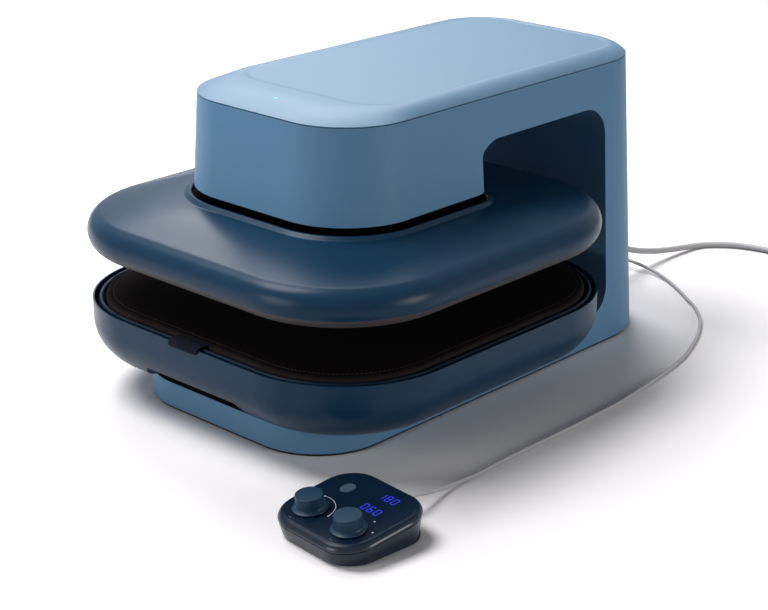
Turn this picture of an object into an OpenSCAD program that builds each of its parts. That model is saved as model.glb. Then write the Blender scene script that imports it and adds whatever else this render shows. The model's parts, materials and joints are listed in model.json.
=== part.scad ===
// Flat heat press: a motor lowers the heated upper plate onto a padded tray, and a corded pod sets it.
// Millimetres, +Z up, -Y is the front. The origin is the middle of the rubber sole, on the bench.

/* [Body] */
// Width of the arm at the lid seam
arm_w = 239; // [225:1:255]
// Distance from the origin to the front of the arm at the lid seam
arm_front = 203; // [196:1:210]
// Distance from the origin to the back of the arm at the lid seam
arm_back = 244; // [238:1:256]
// Corner radius of the arm in plan at the lid seam
arm_r = 70; // [62:1:78]
// Lean of the body's sides in degrees
draft = 3.44; // [2.5:0.02:4.5]
// Height of the head below the underside of the arm
head_h = 49; // [47:0.5:58]
// Height of the arm from its underside to the lid seam
arm_h = 40.6; // [39:0.2:48]
// Distance of the head's back face in front of the origin at its lower edge
head_back = 10.5; // [4:0.5:16]
// Corner radius of the head's back in plan at the lid seam
head_corner = 20; // [14:1:30]
// Radius where the head runs into the underside of the arm
head_blend = 17; // [8:1:24]
// Front face of the column
column_front = 162; // [154:1:170]
// Radius where the column meets the arm and the foot
column_blend = 30; // [10:1:34]
// Thickness of the body's walls
wall = 3; // [2:0.5:4]
// Distance from the origin to the front of the foot at the bench
foot_front = 260; // [254:1:270]
// How much tighter the foot's front corners are than its back ones
foot_tight = 15; // [5:1:24]
// Height of the foot from the sole to its deck
foot_h = 30; // [28:0.5:36]
// Thickness of the rubber sole
sole_t = 3; // [2:0.5:5]
// Distance of the sole's edge behind the foot's edge
sole_inset = 2; // [1:0.5:4]

/* [Lid] */
// Height of the lid above its seam
lid_h = 9.8; // [8:0.2:14]
// Distance over which the lid's edge rolls over
lid_roll = 21.6; // [14:0.2:26]
// Open line between body and lid
seam_gap = 0.8; // [0.4:0.1:1.6]
// Depth of the shallow panel in the lid
panel_depth = 1.2; // [0.6:0.1:2]
// Distance of the panel's front edge behind the front of the arm
panel_front = 61; // [45:1:80]
// Diameter of the status light
light_d = 4; // [3:0.5:6]
// Distance of the status light behind the front of the arm
light_back = 27; // [24:1:40]

/* [Upper plate] */
// Width of the upper plate's cover
platen_w = 414; // [396:1:430]
// Depth of the upper plate's cover from front to back
platen_d = 425; // [416:1:434]
// Thickness of the upper plate, which is also twice its edge radius
platen_t = 38; // [35:0.5:42]
// Corner radius of the upper plate and the tray in plan
platen_r = 117; // [105:1:128]
// Distance of the upper plate's back edge in front of the column
platen_back_gap = 34; // [24:1:40]
// Rise of the cover's crown above its rounded edge
crown_h = 11; // [8:0.5:12]
// Height of the raised part under the head above the cover's edge
plateau_h = 16; // [14.5:0.5:20]
// Distance of the raised part's edge outside the head
plateau_out = 2; // [1:0.5:4]
// Rounding of the raised part's upper edge
plateau_round = 5; // [3:0.5:7]
// Open height between the raised part and the head
head_gap = 6; // [4:0.5:9]
// Height of the heat shield band round the underside
shield_h = 11; // [9:0.5:13]
// Thickness of the aluminium heat plate
plate_t = 8; // [6:0.5:10]
// Open width between the heat plate and the heat shield band
plate_gap = 1.5; // [1:0.1:3]
// Diameter of the tubular heating element
element_d = 7; // [6:0.5:8]
// Travel of the upper plate
travel = 44; // [38:0.5:46]
// Clearance between heat plate and mat at the end of the travel
rest_gap = 1; // [0.6:0.1:3]

/* [Lift] */
// Diameter of the lead screw
screw_d = 12; // [10:0.5:14]
// Lead of the screw for each turn
screw_lead = 8; // [4:1:10]
// Diameter of the guide rods
rod_d = 10; // [8:0.5:12]
// Spacing of the guide rods across the press
rod_x = 84; // [76:1:92]
// Spacing of the guide rods from front to back
rod_y = 84; // [76:1:90]
// Radial clearance of screw and rods in what they run through
run_fit = 0.05; // [0.02:0.01:0.09]
// Thickness of the steel plates of the lift
steel_t = 5; // [4:0.5:6]
// Diameter of the motor
motor_d = 28; // [24:0.5:29]
// Length of the motor
motor_l = 76; // [60:1:90]

/* [Tray] */
// Height of the tray from the deck to its rim
tray_h = 60; // [56:0.5:66]
// Radius of the tray's belly
belly_r = 40; // [34:0.5:46]
// Distance of the tray's rim inside the upper plate's edge
rim_inset = 1.5; // [0.5:0.5:5]
// Thickness of the tray's shell
tray_wall = 3; // [2:0.5:4]
// Thickness of the tray's lip at the rim
lip_t = 1.6; // [1.2:0.1:2.4]
// Open width between the tray's lip and the liner
lip_gap = 4.4; // [3:0.2:6]
// Width of the liner's rim
liner_rim = 4; // [3:0.5:6]
// Width of the groove between liner and mat
mat_groove = 3; // [2:0.5:6]
// Height of the mat above the tray's rim
mat_rise = 4; // [2:0.5:6]
// Thickness of the mat's edge
mat_t = 12; // [9:0.5:15]
// Rounding of the mat's edge
mat_round = 5; // [3:0.5:7]
// Width of the notch at the tray's front
notch_w = 132; // [110:1:150]
// Height of the notch at the tray's front
notch_h = 13; // [9:0.5:16]
// Width of the mat's pull tab
tab_w = 38; // [28:1:46]
// Thickness of the pull tab
tab_t = 1.6; // [1.2:0.1:2.2]
// Drop of the pull tab in front of the rim
tab_drop = 4; // [3:0.5:8]

/* [Pod] */
// Width of the control pod
pod_w = 107; // [98:1:116]
// Depth of the control pod
pod_d = 99; // [92:1:106]
// Corner radius of the pod in plan
pod_r = 30; // [24:1:36]
// Height of the pod at the middle of its top
pod_h = 25.2; // [24:0.2:32]
// Slope of the pod's top in degrees
pod_tilt = 6.3; // [4:0.1:8]
// Rounding of the pod's upper edge
pod_round = 4; // [2.5:0.5:5]
// Thickness of the pod's walls
pod_wall = 2.5; // [2:0.25:3]
// Diameter of a knob's grip
knob_d = 24; // [20:0.5:26]
// Diameter of a knob's skirt
knob_skirt_d = 31; // [28:0.5:33]
// Height of a knob above the pod's top
knob_h = 14; // [11:0.5:17]
// Spacing of the two knobs
knob_pitch = 49; // [44:0.5:52]
// Distance of the knobs in front of the pod's middle
knob_front = 22; // [19:0.5:24]
// Diameter of the encoder shafts
shaft_d = 6; // [5:0.5:7]
// Length of the oval button
button_l = 15; // [12:0.5:18]
// Width of the oval button
button_w = 9.5; // [8:0.5:12]
// Travel of the oval button
button_travel = 1; // [0.6:0.1:1.4]
// Width of the display window
window_w = 34; // [28:1:38]
// Depth of the display window
window_d = 44; // [36:1:46]
// Clearance round knobs, button and window
pod_fit = 0.4; // [0.3:0.05:0.6]

/* [Cords] */
// Diameter of the control cord
control_d = 3.8; // [3:0.1:3.9]
// Diameter of the mains cord
mains_d = 7; // [6.6:0.1:7.2]
// Turns in the lower layer of the mains coil
coil_in = 2; // [2:1:3]
// Radius of the coil where the cord enters it
coil_r = 46; // [44:0.5:50]
// Open space between neighbouring turns of the coil
coil_gap = 0.6; // [0.5:0.1:1]

/* [Hidden] */
$fn = 64;

lean = tan(draft);
far = 600;
seat = 0.2;
skin = 0.1;

// Heights, stacked from the bench to the lid
deck_z = sole_t + foot_h;
rim_z = deck_z + tray_h;
mat_z = rim_z + mat_rise;
plate_z = mat_z + rest_gap + travel;
platen_top = plate_z + platen_t;
plateau_z = platen_top + plateau_h;
head_z = plateau_z + head_gap;
arch_z = head_z + head_h;
seam_z = arch_z + arm_h;

// Plan centres of the corner arcs of body, head, foot and upper plate
body_x = arm_w / 2 - arm_r;
body_y0 = arm_r - arm_front;
body_y1 = arm_back - arm_r;
function body_r(z) = arm_r + (seam_z - z) * lean;
head_y1 = -head_back - body_r(head_z);
head_tight = arm_r - head_corner;
foot_y0 = body_r(sole_t) - foot_front;
inner_r = arm_r - wall;
foot_inner_r = body_r(deck_z) - wall;
edge_r = platen_t / 2;
platen_x = platen_w / 2 - platen_r;
platen_y1 = column_front - platen_back_gap - platen_r;
platen_y0 = platen_y1 - platen_d + 2 * platen_r;
tray_r = platen_r - rim_inset;
liner_r = tray_r - lip_t - lip_gap;
mat_r = liner_r - liner_rim - mat_groove;
plateau_r = body_r(head_z) + plateau_out;

// Crown of the cover: an arc in steps that runs on from the rounded edge to a flat middle
crown_run = platen_r - edge_r;
crown_steps = 10;
crown_r = (pow(crown_run, 2) + pow(edge_r + crown_h, 2) - pow(edge_r, 2)) / (2 * crown_h);
crown_turn = asin(crown_run / (crown_r - edge_r));
function crown_z(out) = platen_top + crown_h - crown_r + sqrt(pow(crown_r, 2) - pow(out, 2));
function crown_out(step) = crown_r * sin(crown_turn * (1 - step / crown_steps));
crown_top = crown_z(crown_out(crown_steps - 1));

// Lift, centred in the head
lift_y = (body_y0 + head_y1) / 2;
lift_z = arch_z + 2;
lift_low = plateau_z - 12;
carriage_z = lift_z - 22;
backing_t = 3;
backing_z = platen_top - wall - backing_t;
collar_r = inner_r - 1.5;
collar_t = 2.5;
collar_z = lift_z + 1;
nut_h = 20;
bush_t = 3;
post_d = 12;
post_x = rod_x / 2 + 24;
gearbox_h = 30;
gearbox_w = 66;
gearbox_d = 76;
screw_top = 12;
plate_rim = 14;
rail_x = 46;
rail_w = 20;
rail_t = 4;
rail_h = 24;
rail_z = lift_z + steel_t;
bolt_d = 5;
post_w = 40;
column_mid = (column_front + arm_back) / 2;
column_post_d = 30;
board_w = 120;
board_d = 120;
board_t = 1.6;
board_up = 5;
board_rim = 10;
pillar_r = 1.9;

// Tray floor and what stands on it
tray_floor = deck_z + tray_wall;
liner_z = mat_z - mat_t - 14;
liner_t = 4;
pad_z = liner_z + liner_t;
liner_leg = 24;
tab_lift = 1;

// Control pod on the bench
pod_x = 238.3;
pod_y = -325.4;
pod_yaw = -5.3;
pod_draft = 3;
pod_foot_t = 2;
pod_base_t = 3;
pod_board_t = 1.6;
pod_board_z = -12;
encoder_h = 5;
pod_cord_x = 6;
pod_cord_z = 16;
pod_relief_l = 14;
relief_r = 4.2;
window_x = 21;
window_y = 18;
button_x = -24.5;
button_y = 19;

// Mains lead: where it leaves the column, and the coil beside the press
mains_r = mains_d / 2;
gland_x = 26;
gland_z = 34;
socket_x = -34;
socket_z = 22;
gland_t = 3;
gland_r = mains_r + 2.4;
socket_r = 6.9;
bore_l = 14;
relief_l = 53;
plug_l = 34;
coil_out = coil_in + 0.5;
coil_pitch = mains_d + coil_gap;
coil_x = 205;
coil_y = 562;
tie_t = 1;
coil_z = mains_r + tie_t + skin;
coil_steps = 24;

// Point in the pod's frame, and point out from the leaning back wall, both in the press's frame
function pod_point(p) = [
    pod_x + cos(pod_yaw) * p[0] - sin(pod_yaw) * p[1],
    pod_y + sin(pod_yaw) * p[0] + cos(pod_yaw) * p[1],
    p[2]
];
function back_point(x, z, out) = [x, body_y1 + body_r(z) + out * cos(draft), z + out * sin(draft)];

// Route of the control cord from the pod to its plug behind the column
control_y = pod_d / 2 + 2 + pod_relief_l;
control_route = concat(
    [for (y = [control_y, control_y + control_d]) pod_point([pod_cord_x, y, pod_cord_z])],
    [
        [249, -240, 11.5], [246, -222, 7], [244, -198, 3.4], [244, -167, 2], [243, -138, 2], [243, -110, 2],
        [244, -53, 2], [244, -7, 2], [243, 42, 2], [239, 81, 2], [234, 120, 2], [226, 166, 2], [216, 198, 2],
        [199, 238, 2], [177, 275, 2], [152, 302, 2], [132, 317, 2], [112, 332, 2], [84, 350, 2.5],
        [56, 361, 4.5], [30, 362, 8], [6, 356, 12], [-15, 342, 17], [-28, 324, 22]
    ],
    [for (out = [plug_l + control_d, plug_l]) back_point(socket_x, socket_z, out)]
);

// Route of the mains cord from its relief behind the column to the coil
mains_route = concat(
    [for (out = [relief_l, relief_l + mains_d]) back_point(gland_x, gland_z, out)],
    [
        [27, 345, 29], [28, 370, 20.5], [30, 405, 12], [34, 446, 6], [41, 475, 3.6], [57, 493, 3.6],
        [77, 506, 3.6], [101, 513, 3.6], [128, 516, 3.6], [160, 516, 3.6]
    ],
    [for (back = [2 * mains_d, mains_d]) [coil_x - back, coil_y - coil_r, coil_z]]
);

// Profile moved in by t and kept on the outer side of its axis
module drawn_in(t) {
    if (t == 0)
        children();
    else
        intersection() {
            translate([-t, 0]) children();
            translate([0, -far]) square([far, 2 * far]);
        }
}

// Sweeps a profile, x outward and y up, round a rectangle of corner centres.
// Front corners are tighter by t0 and back ones by t1, with the flat sides left where they are
module loop(hx, y0, y1, t0 = 0, t1 = 0) {
    side = y1 - y0 + t0 + t1;
    turns = [
        [hx + t1, y1 + t1, 0, side, t1], [-hx - t1, y1 + t1, 90, 2 * (hx + t1), t1],
        [-hx - t0, y0 - t0, 180, side, t0], [hx + t0, y0 - t0, 270, 2 * (hx + t0), t0]
    ];
    for (c = turns)
        translate([c[0], c[1], 0])
            rotate([0, 0, c[2]]) {
                rotate_extrude(angle = 90) drawn_in(c[4]) children();
                rotate([90, 0, 0]) linear_extrude(c[3]) drawn_in(c[4]) children();
            }
}

// The same, with the middle filled from z0 to z1
module filled_loop(hx, y0, y1, z0, z1, t0 = 0, t1 = 0) {
    loop(hx, y0, y1, t0, t1) children();
    translate([-hx - t0, y0 - t0, z0]) cube([2 * hx + t0 + t1, y1 - y0 + t0 + t1, z1 - z0]);
}

// Rounded rectangle in plan
module plan(hx, y0, y1, r) {
    translate([-hx - r, y0]) square([2 * (hx + r), y1 - y0]);
    translate([-hx, y0 - r]) square([2 * hx, y1 - y0 + 2 * r]);
    for (x = [-hx, hx], y = [y0, y1]) translate([x, y]) circle(r);
}

// Upright prism on a rounded rectangle
module prism(hx, y0, y1, r, z0, z1) {
    translate([0, 0, z0]) linear_extrude(z1 - z0) plan(hx, y0, y1, r);
}

// Upright cylinder from z0 to z1
module peg(x, y, r, z0, z1) {
    translate([x, y, z0]) cylinder(h = z1 - z0, r = r);
}

// Four places at the corners of a rectangle about the lift axis
function lift_corners(dx, dy) = [for (x = [-dx, dx], y = [lift_y - dy, lift_y + dy]) [x, y]];

// Half profile of the body's leaning side between two heights, moved in by a wall
module leaning_side(z0, z1, inset = 0) {
    polygon([[0, z0], [body_r(z0) - inset, z0], [body_r(z1) - inset, z1], [0, z1]]);
}

// Base

module rubber_sole() {
    color("#16181b")
        filled_loop(body_x, foot_y0, body_y1, 0, sole_t, foot_tight)
            square([body_r(sole_t) - sole_inset, sole_t]);
}

module bottom_plate() {
    color("#2a2d31")
        prism(body_x, foot_y0, body_y1, foot_inner_r - seat, sole_t, sole_t + wall);
}

// Side view of the opening between foot, column and arm, y to the right and z up
module opening_view() {
    corner_y = column_front - column_blend;
    translate([-far, deck_z]) square([far + corner_y, arch_z - deck_z]);
    translate([-far, deck_z + column_blend]) square([far + column_front, arch_z - deck_z - 2 * column_blend]);
    for (z = [deck_z + column_blend, arch_z - column_blend]) translate([corner_y, z]) circle(column_blend);
}

// Section of the head with the hollow blend under the arm, just outside the body's side
module head_side() {
    blend_z = arch_z - head_blend;
    blend_r = body_r(blend_z) + skin;
    difference() {
        union() {
            polygon([[0, head_z], [body_r(head_z) + skin, head_z], [blend_r, blend_z], [0, blend_z]]);
            translate([0, blend_z]) square([blend_r + head_blend, head_blend + wall]);
        }
        translate([blend_r + head_blend, blend_z + skin]) circle(head_blend);
    }
}

// Outer form: one leaning block, with the opening cut behind the head and the foot left long in front
module body_form() {
    mid = (deck_z + head_z) / 2;
    head_y0 = body_y0 - 2 * head_blend;
    difference() {
        filled_loop(body_x, foot_y0, body_y1, sole_t, seam_z, foot_tight) leaning_side(sole_t, seam_z);
        difference() {
            translate([-far, 0, 0]) rotate([90, 0, 90]) linear_extrude(2 * far) opening_view();
            filled_loop(body_x, head_y0, head_y1, head_z, arch_z + wall, 0, head_tight) head_side();
        }
        difference() {
            translate([-far, -far, mid]) cube([2 * far, 2 * far, far]);
            filled_loop(body_x, body_y0, body_y1, mid - 1, seam_z + 1)
                leaning_side(mid - 1, seam_z + 1, -skin);
        }
    }
}

module body_shell() {
    color("#5f87a6")
        difference() {
            body_form();
            prism(body_x, body_y0, body_y1, inner_r, arch_z + wall, seam_z + 1);
            filled_loop(body_x, body_y0, head_y1, head_z - 1, arch_z + 2 * wall, 0, head_tight)
                leaning_side(head_z - 1, arch_z + 2 * wall, wall);
            intersection() {
                prism(body_x, body_y0, body_y1, inner_r - 1, deck_z - 2 * wall, arch_z + 2 * wall);
                translate([-far, column_front + wall, 0]) cube([2 * far, far, far]);
            }
            prism(body_x, foot_y0, body_y1, foot_inner_r, sole_t - 1, deck_z - wall);
            rear_bore(gland_x, gland_z, gland_r + skin);
            rear_bore(socket_x, socket_z, socket_r + skin);
        }
}

// Places children on the leaning back wall, z outward
module on_back(x, z) {
    translate([x, body_y1 + body_r(z), z]) rotate([draft - 90, 0, 0]) children();
}

module rear_bore(x, z, r) {
    on_back(x, z) translate([0, 0, -2 * bore_l]) cylinder(h = 4 * bore_l, r = r);
}

module base_frame() {
    z = sole_t + wall;
    color("#8b9096")
        difference() {
            prism(body_x, foot_y0 + 20, body_y1 - 10, foot_inner_r - 30, z, z + steel_t);
            for (p = pillar_places()) peg(p[0], p[1], pillar_r + skin, z - 1, z + steel_t + 1);
        }
}

module column_posts() {
    z0 = sole_t + wall + steel_t;
    web = 4;
    cap = 8;
    color("#7b8187")
        for (x = [-rail_x, rail_x])
            difference() {
                translate([x - post_w / 2, column_mid - column_post_d / 2, z0])
                    cube([post_w, column_post_d, rail_z - z0]);
                translate([x - post_w / 2 + web, column_mid - column_post_d / 2 + web, z0 + cap])
                    cube([post_w - 2 * web, column_post_d, rail_z - z0 - 2 * cap]);
                peg(x, column_mid, bolt_d / 2 + seat, rail_z - cap - 1, rail_z + 1);
            }
}

// Angle rails: a foot that lies on drive plate and posts, and an upright web
module arm_rails() {
    y0 = lift_y - rod_y / 2 - plate_rim;
    length = column_mid + column_post_d / 2 - y0;
    color("#7b8187")
        for (s = [-1, 1])
            difference() {
                union() {
                    translate([s * rail_x - rail_w / 2, y0, rail_z]) cube([rail_w, length, rail_t]);
                    translate([s * (rail_x + (rail_w - rail_t) / 2) - rail_t / 2, y0, rail_z])
                        cube([rail_t, length, rail_h]);
                }
                for (y = bolt_places())
                    peg(s * rail_x, y, bolt_d / 2 + seat, rail_z - 1, rail_z + rail_t + 1);
            }
}

function plate_bolts() = [lift_y - rail_w, lift_y + rail_w];
function bolt_places() = concat(plate_bolts(), [column_mid]);

module rail_bolts() {
    head_h = 3.5;
    color("#b9bdc2")
        for (x = [-rail_x, rail_x], y = bolt_places()) {
            peg(x, y, bolt_d / 2, lift_z, rail_z + rail_t);
            translate([x, y, rail_z + rail_t]) cylinder(h = head_h, r = bolt_d * 0.9, $fn = 6);
        }
}

module drive_plate() {
    color("#8b9096")
        difference() {
            translate([-rail_x - plate_rim, lift_y - rod_y / 2 - plate_rim, lift_z])
                cube([2 * (rail_x + plate_rim), rod_y + 2 * plate_rim, steel_t]);
            peg(0, lift_y, screw_d / 2 + 4, lift_z - 1, rail_z + 1);
            for (p = lift_corners(rod_x / 2, rod_y / 2))
                peg(p[0], p[1], rod_d / 2 + run_fit, lift_z - 1, rail_z + 1);
            for (x = [-rail_x, rail_x], y = plate_bolts())
                peg(x, y, bolt_d / 2 + seat, lift_z - 1, rail_z + 1);
        }
}

module gearbox() {
    r = 8;
    x = gearbox_w / 2 - r;
    y = gearbox_d / 2 - r;
    step = 4;
    color("#3b3f45")
        difference() {
            union() {
                prism(x, lift_y - y, lift_y + y, r, rail_z, rail_z + gearbox_h - step);
                prism(x - step, lift_y - y + step, lift_y + y - step, r, rail_z, rail_z + gearbox_h);
            }
            peg(0, lift_y, screw_d / 2 + run_fit, rail_z - 1, rail_z + screw_top + 2);
        }
}

module lift_motor() {
    boss = 6;
    color("#9aa0a6")
        translate([0, lift_y + gearbox_d / 2, rail_z + 1 + motor_d / 2])
            rotate([-90, 0, 0]) {
                cylinder(h = motor_l, r = motor_d / 2);
                translate([0, 0, motor_l]) cylinder(h = boss, r = boss);
            }
}

module screw_bearing() {
    color("#c3c7cb")
        difference() {
            peg(0, lift_y, screw_d / 2 + 9, lift_z - 8, lift_z);
            peg(0, lift_y, screw_d / 2 + run_fit, lift_z - 9, lift_z + 1);
        }
}

module guide_rods() {
    color("#d0d4d8")
        for (p = lift_corners(rod_x / 2, rod_y / 2)) peg(p[0], p[1], rod_d / 2, lift_low, rail_z);
}

function pillar_places() =
    [for (x = [-1, 1], y = [-1, 1]) [x * (board_w / 2 - board_rim), y * (board_d / 2 - board_rim)]];

module power_board() {
    z = sole_t + wall + steel_t + board_up;
    top = z + board_t;
    part = board_w / 4;
    color("#1f5a37") {
        difference() {
            translate([-board_w / 2, -board_d / 2, z]) cube([board_w, board_d, board_t]);
            for (p = pillar_places()) peg(p[0], p[1], pillar_r + skin, z - 1, top + 1);
        }
        translate([-1.5 * part, -part, top]) cube([part, part, part * 0.3]);
        translate([0.2 * part, -part, top]) cube([part / 2, part, part * 0.25]);
        for (x = [0.3, 0.75, 1.2]) peg(x * part, 0.7 * part, part / 6, top, top + part / 4);
    }
}

module board_pillars() {
    z = sole_t + wall;
    color("#d8cfa8")
        for (p = pillar_places()) {
            peg(p[0], p[1], pillar_r, z, z + steel_t + board_up + 2 * board_t);
            peg(p[0], p[1], 2 * pillar_r, z + steel_t, z + steel_t + board_up);
        }
}

// Lid

// Rolled edge of the lid as a quarter of an ellipse
module lid_edge(z0) {
    steps = 8;
    polygon(concat(
        [[0, z0], [arm_r, z0]],
        [for (i = [0:steps]) let (a = 90 * i / steps)
            [arm_r - lid_roll + lid_roll * cos(a), seam_z + 2 * seam_gap + (lid_h - 2 * seam_gap) * sin(a)]],
        [[0, seam_z + lid_h]]
    ));
}

module top_cover() {
    panel_r = arm_r - lid_roll - 8;
    color("#6b93b2")
        difference() {
            union() {
                filled_loop(body_x, body_y0, body_y1, seam_z + seam_gap, seam_z + lid_h)
                    lid_edge(seam_z + seam_gap);
                prism(body_x, body_y0, body_y1, arm_r - wall / 2, seam_z, seam_z + 2 * seam_gap);
            }
            prism(body_x, body_y0, body_y1, inner_r - 1, seam_z - 1, seam_z + lid_h - 4);
            prism(body_x + 8, panel_front - arm_front + panel_r, body_y1 + 8, panel_r,
                seam_z + lid_h - panel_depth, seam_z + lid_h + 1);
            peg(0, light_back - arm_front, light_d / 2, seam_z, seam_z + lid_h + 1);
        }
}

module status_light() {
    color("#38d99a")
        peg(0, light_back - arm_front, light_d / 2, seam_z + lid_h - 5, seam_z + lid_h);
}

// Upper plate

// Section of the heat shield: the lowest part of the upper plate's round edge
module shield_side() {
    intersection() {
        union() {
            square([crown_run, shield_h]);
            translate([crown_run, edge_r]) circle(edge_r);
        }
        square([platen_r, shield_h]);
    }
}

// Section of the cover above the heat shield: the round edge and the low crown
module cover_side() {
    intersection() {
        union() {
            polygon(concat(
                [[0, 0], [crown_run, 0], [crown_run, edge_r]],
                [for (i = [0:crown_steps - 1]) [crown_out(i), crown_z(crown_out(i)) - plate_z]],
                [[0, crown_top - plate_z]]
            ));
            translate([crown_run, edge_r]) circle(edge_r);
        }
        translate([0, shield_h]) square([platen_r, platen_t]);
    }
}

// Raised part of the cover, with a rounded edge
module plateau_side() {
    square([plateau_r - plateau_round, plateau_h]);
    square([plateau_r, plateau_h - plateau_round]);
    translate([plateau_r - plateau_round, plateau_h - plateau_round]) circle(plateau_round);
}

module platen_cover() {
    air = crown_run / 2;
    color("#23405c")
        difference() {
            union() {
                translate([0, 0, plate_z])
                    filled_loop(platen_x, platen_y0, platen_y1, shield_h, crown_top - plate_z) cover_side();
                translate([0, 0, platen_top])
                    filled_loop(body_x, body_y0, head_y1, 0, plateau_h, 0, head_tight)
                        union() plateau_side();
            }
            prism(platen_x, platen_y0, platen_y1, crown_run, plate_z, platen_top - wall);
            prism(platen_x, platen_y0, platen_y1, air, platen_top - 2 * wall, crown_z(air) - wall);
            prism(body_x, body_y0, head_y1, collar_r - collar_t - 4, platen_top - 2 * wall, plateau_z + 1);
        }
}

module collar() {
    color("#0d1117")
        difference() {
            prism(body_x, body_y0, head_y1, collar_r, plateau_z, collar_z);
            prism(body_x, body_y0, head_y1, collar_r - collar_t, plateau_z - 1, collar_z + 1);
        }
}

module heat_shield() {
    color("#4a4644")
        translate([0, 0, plate_z])
            difference() {
                filled_loop(platen_x, platen_y0, platen_y1, 0, shield_h) shield_side();
                prism(platen_x, platen_y0, platen_y1, platen_r - edge_r - 1, -1, shield_h + 1);
            }
}

module heat_plate() {
    color("#55585c")
        prism(platen_x, platen_y0, platen_y1, platen_r - edge_r - 1 - plate_gap, plate_z, plate_z + plate_t);
}

// Two passes of the heating element, as distances from the corner axis
element_runs = [platen_r - edge_r - 16, platen_r - edge_r - 50];

module element_pass(r, d) {
    loop(platen_x, platen_y0, platen_y1)
        translate([r, plate_z + plate_t + element_d / 2]) circle(d / 2);
}

module heating_element() {
    color("#8c6f5a")
        for (r = element_runs) element_pass(r, element_d);
}

module thermal_cutout() {
    z = plate_z + plate_t;
    color("#cfc8b8") {
        peg(60, lift_y, 8, z, z + 6);
        peg(-60, lift_y, 5, z, z + 4);
    }
}

module insulation() {
    z = plate_z + plate_t;
    color("#d9d2bf")
        difference() {
            prism(platen_x, platen_y0, platen_y1, platen_r - edge_r - 4, z, backing_z);
            for (r = element_runs) element_pass(r, element_d + 2);
            peg(60, lift_y, 9, z - 1, z + 7);
            peg(-60, lift_y, 6, z - 1, z + 5);
        }
}

module backing_plate() {
    color("#8b9096")
        prism(platen_x, platen_y0, platen_y1, platen_r - edge_r - 4, backing_z, backing_z + backing_t);
}

module carriage_posts() {
    color("#b9bdc2")
        for (p = lift_corners(post_x, rod_y / 2 - 16))
            peg(p[0], p[1], post_d / 2, backing_z + backing_t, carriage_z);
}

module carriage_plate() {
    color("#8b9096")
        difference() {
            prism(post_x - 4, lift_y - rod_y / 2, lift_y + rod_y / 2, 14, carriage_z, carriage_z + steel_t);
            peg(0, lift_y, screw_d / 2 + 4, carriage_z - 1, carriage_z + steel_t + 1);
            for (p = lift_corners(rod_x / 2, rod_y / 2))
                peg(p[0], p[1], rod_d / 2 + bush_t, carriage_z - 1, carriage_z + steel_t + 1);
        }
}

module guide_bushes() {
    color("#b08d57")
        for (p = lift_corners(rod_x / 2, rod_y / 2))
            difference() {
                union() {
                    peg(p[0], p[1], rod_d / 2 + bush_t, carriage_z - nut_h / 2, carriage_z + steel_t);
                    peg(p[0], p[1], rod_d / 2 + bush_t + 3, carriage_z + steel_t, carriage_z + steel_t + 3);
                }
                peg(p[0], p[1], rod_d / 2 + run_fit, carriage_z - nut_h, carriage_z + nut_h);
            }
}

module drive_nut() {
    color("#c09a5b")
        difference() {
            union() {
                peg(0, lift_y, screw_d / 2 + 4, carriage_z - nut_h / 2, carriage_z + steel_t);
                peg(0, lift_y, screw_d / 2 + 9, carriage_z + steel_t, carriage_z + steel_t + 4);
            }
            peg(0, lift_y, screw_d / 2 + run_fit, carriage_z - nut_h, carriage_z + nut_h);
        }
}

module lead_screw() {
    color("#aeb3b8")
        peg(0, lift_y, screw_d / 2, lift_low, rail_z + screw_top);
}

// Tray

// Bowl section: round belly, upright side and a thin lip
module bowl_side(inset, top, floor_z) {
    r = belly_r - inset;
    union() {
        translate([0, floor_z]) square([tray_r - belly_r, top - floor_z]);
        translate([0, deck_z + belly_r]) square([tray_r - inset, top - deck_z - belly_r]);
        intersection() {
            translate([tray_r - belly_r, deck_z + belly_r]) circle(r);
            translate([0, floor_z]) square([tray_r, belly_r]);
        }
    }
}

// Trapezium of the front notch, narrower at the top
module notch_view(grow) {
    half = notch_w / 2 + grow;
    polygon([[-half - notch_h, deck_z - 1], [half + notch_h, deck_z - 1],
        [half, deck_z + notch_h + grow], [-half, deck_z + notch_h + grow]]);
}

module notch_block(grow, y0, y1) {
    translate([0, y1, 0]) rotate([90, 0, 0]) linear_extrude(y1 - y0) notch_view(grow);
}

module tray() {
    front = platen_y0 - tray_r;
    color("#24405a")
        difference() {
            union() {
                difference() {
                    filled_loop(platen_x, platen_y0, platen_y1, deck_z, rim_z) bowl_side(0, rim_z, deck_z);
                    filled_loop(platen_x, platen_y0, platen_y1, tray_floor, rim_z + 1)
                        bowl_side(tray_wall, rim_z + 1, tray_floor);
                    prism(platen_x, platen_y0, platen_y1, tray_r - lip_t, deck_z + belly_r, rim_z + 1);
                }
                intersection() {
                    filled_loop(platen_x, platen_y0, platen_y1, deck_z, rim_z) bowl_side(0, rim_z, deck_z);
                    notch_block(tray_wall, front, front + belly_r + tray_wall);
                }
            }
            notch_block(0, front - 1, front + belly_r);
        }
}

module tray_liner() {
    color("#2a4661") {
        loop(platen_x, platen_y0, platen_y1)
            union() {
                translate([liner_r - liner_rim, liner_z])
                    square([liner_rim, rim_z - liner_z - liner_rim / 2]);
                translate([liner_r - liner_rim / 2, rim_z - liner_rim / 2]) circle(liner_rim / 2);
            }
        prism(platen_x, platen_y0, platen_y1, liner_r - liner_rim / 2, liner_z, liner_z + liner_t);
        for (x = [-platen_x, platen_x], y = [platen_y0 + liner_leg, platen_y1])
            peg(x, y, liner_leg / 2, tray_floor, liner_z);
    }
}

module foam_pad() {
    color("#7a3b2e")
        prism(platen_x, platen_y0, platen_y1, mat_r - mat_groove / 2, pad_z, mat_z - mat_t);
}

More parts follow.
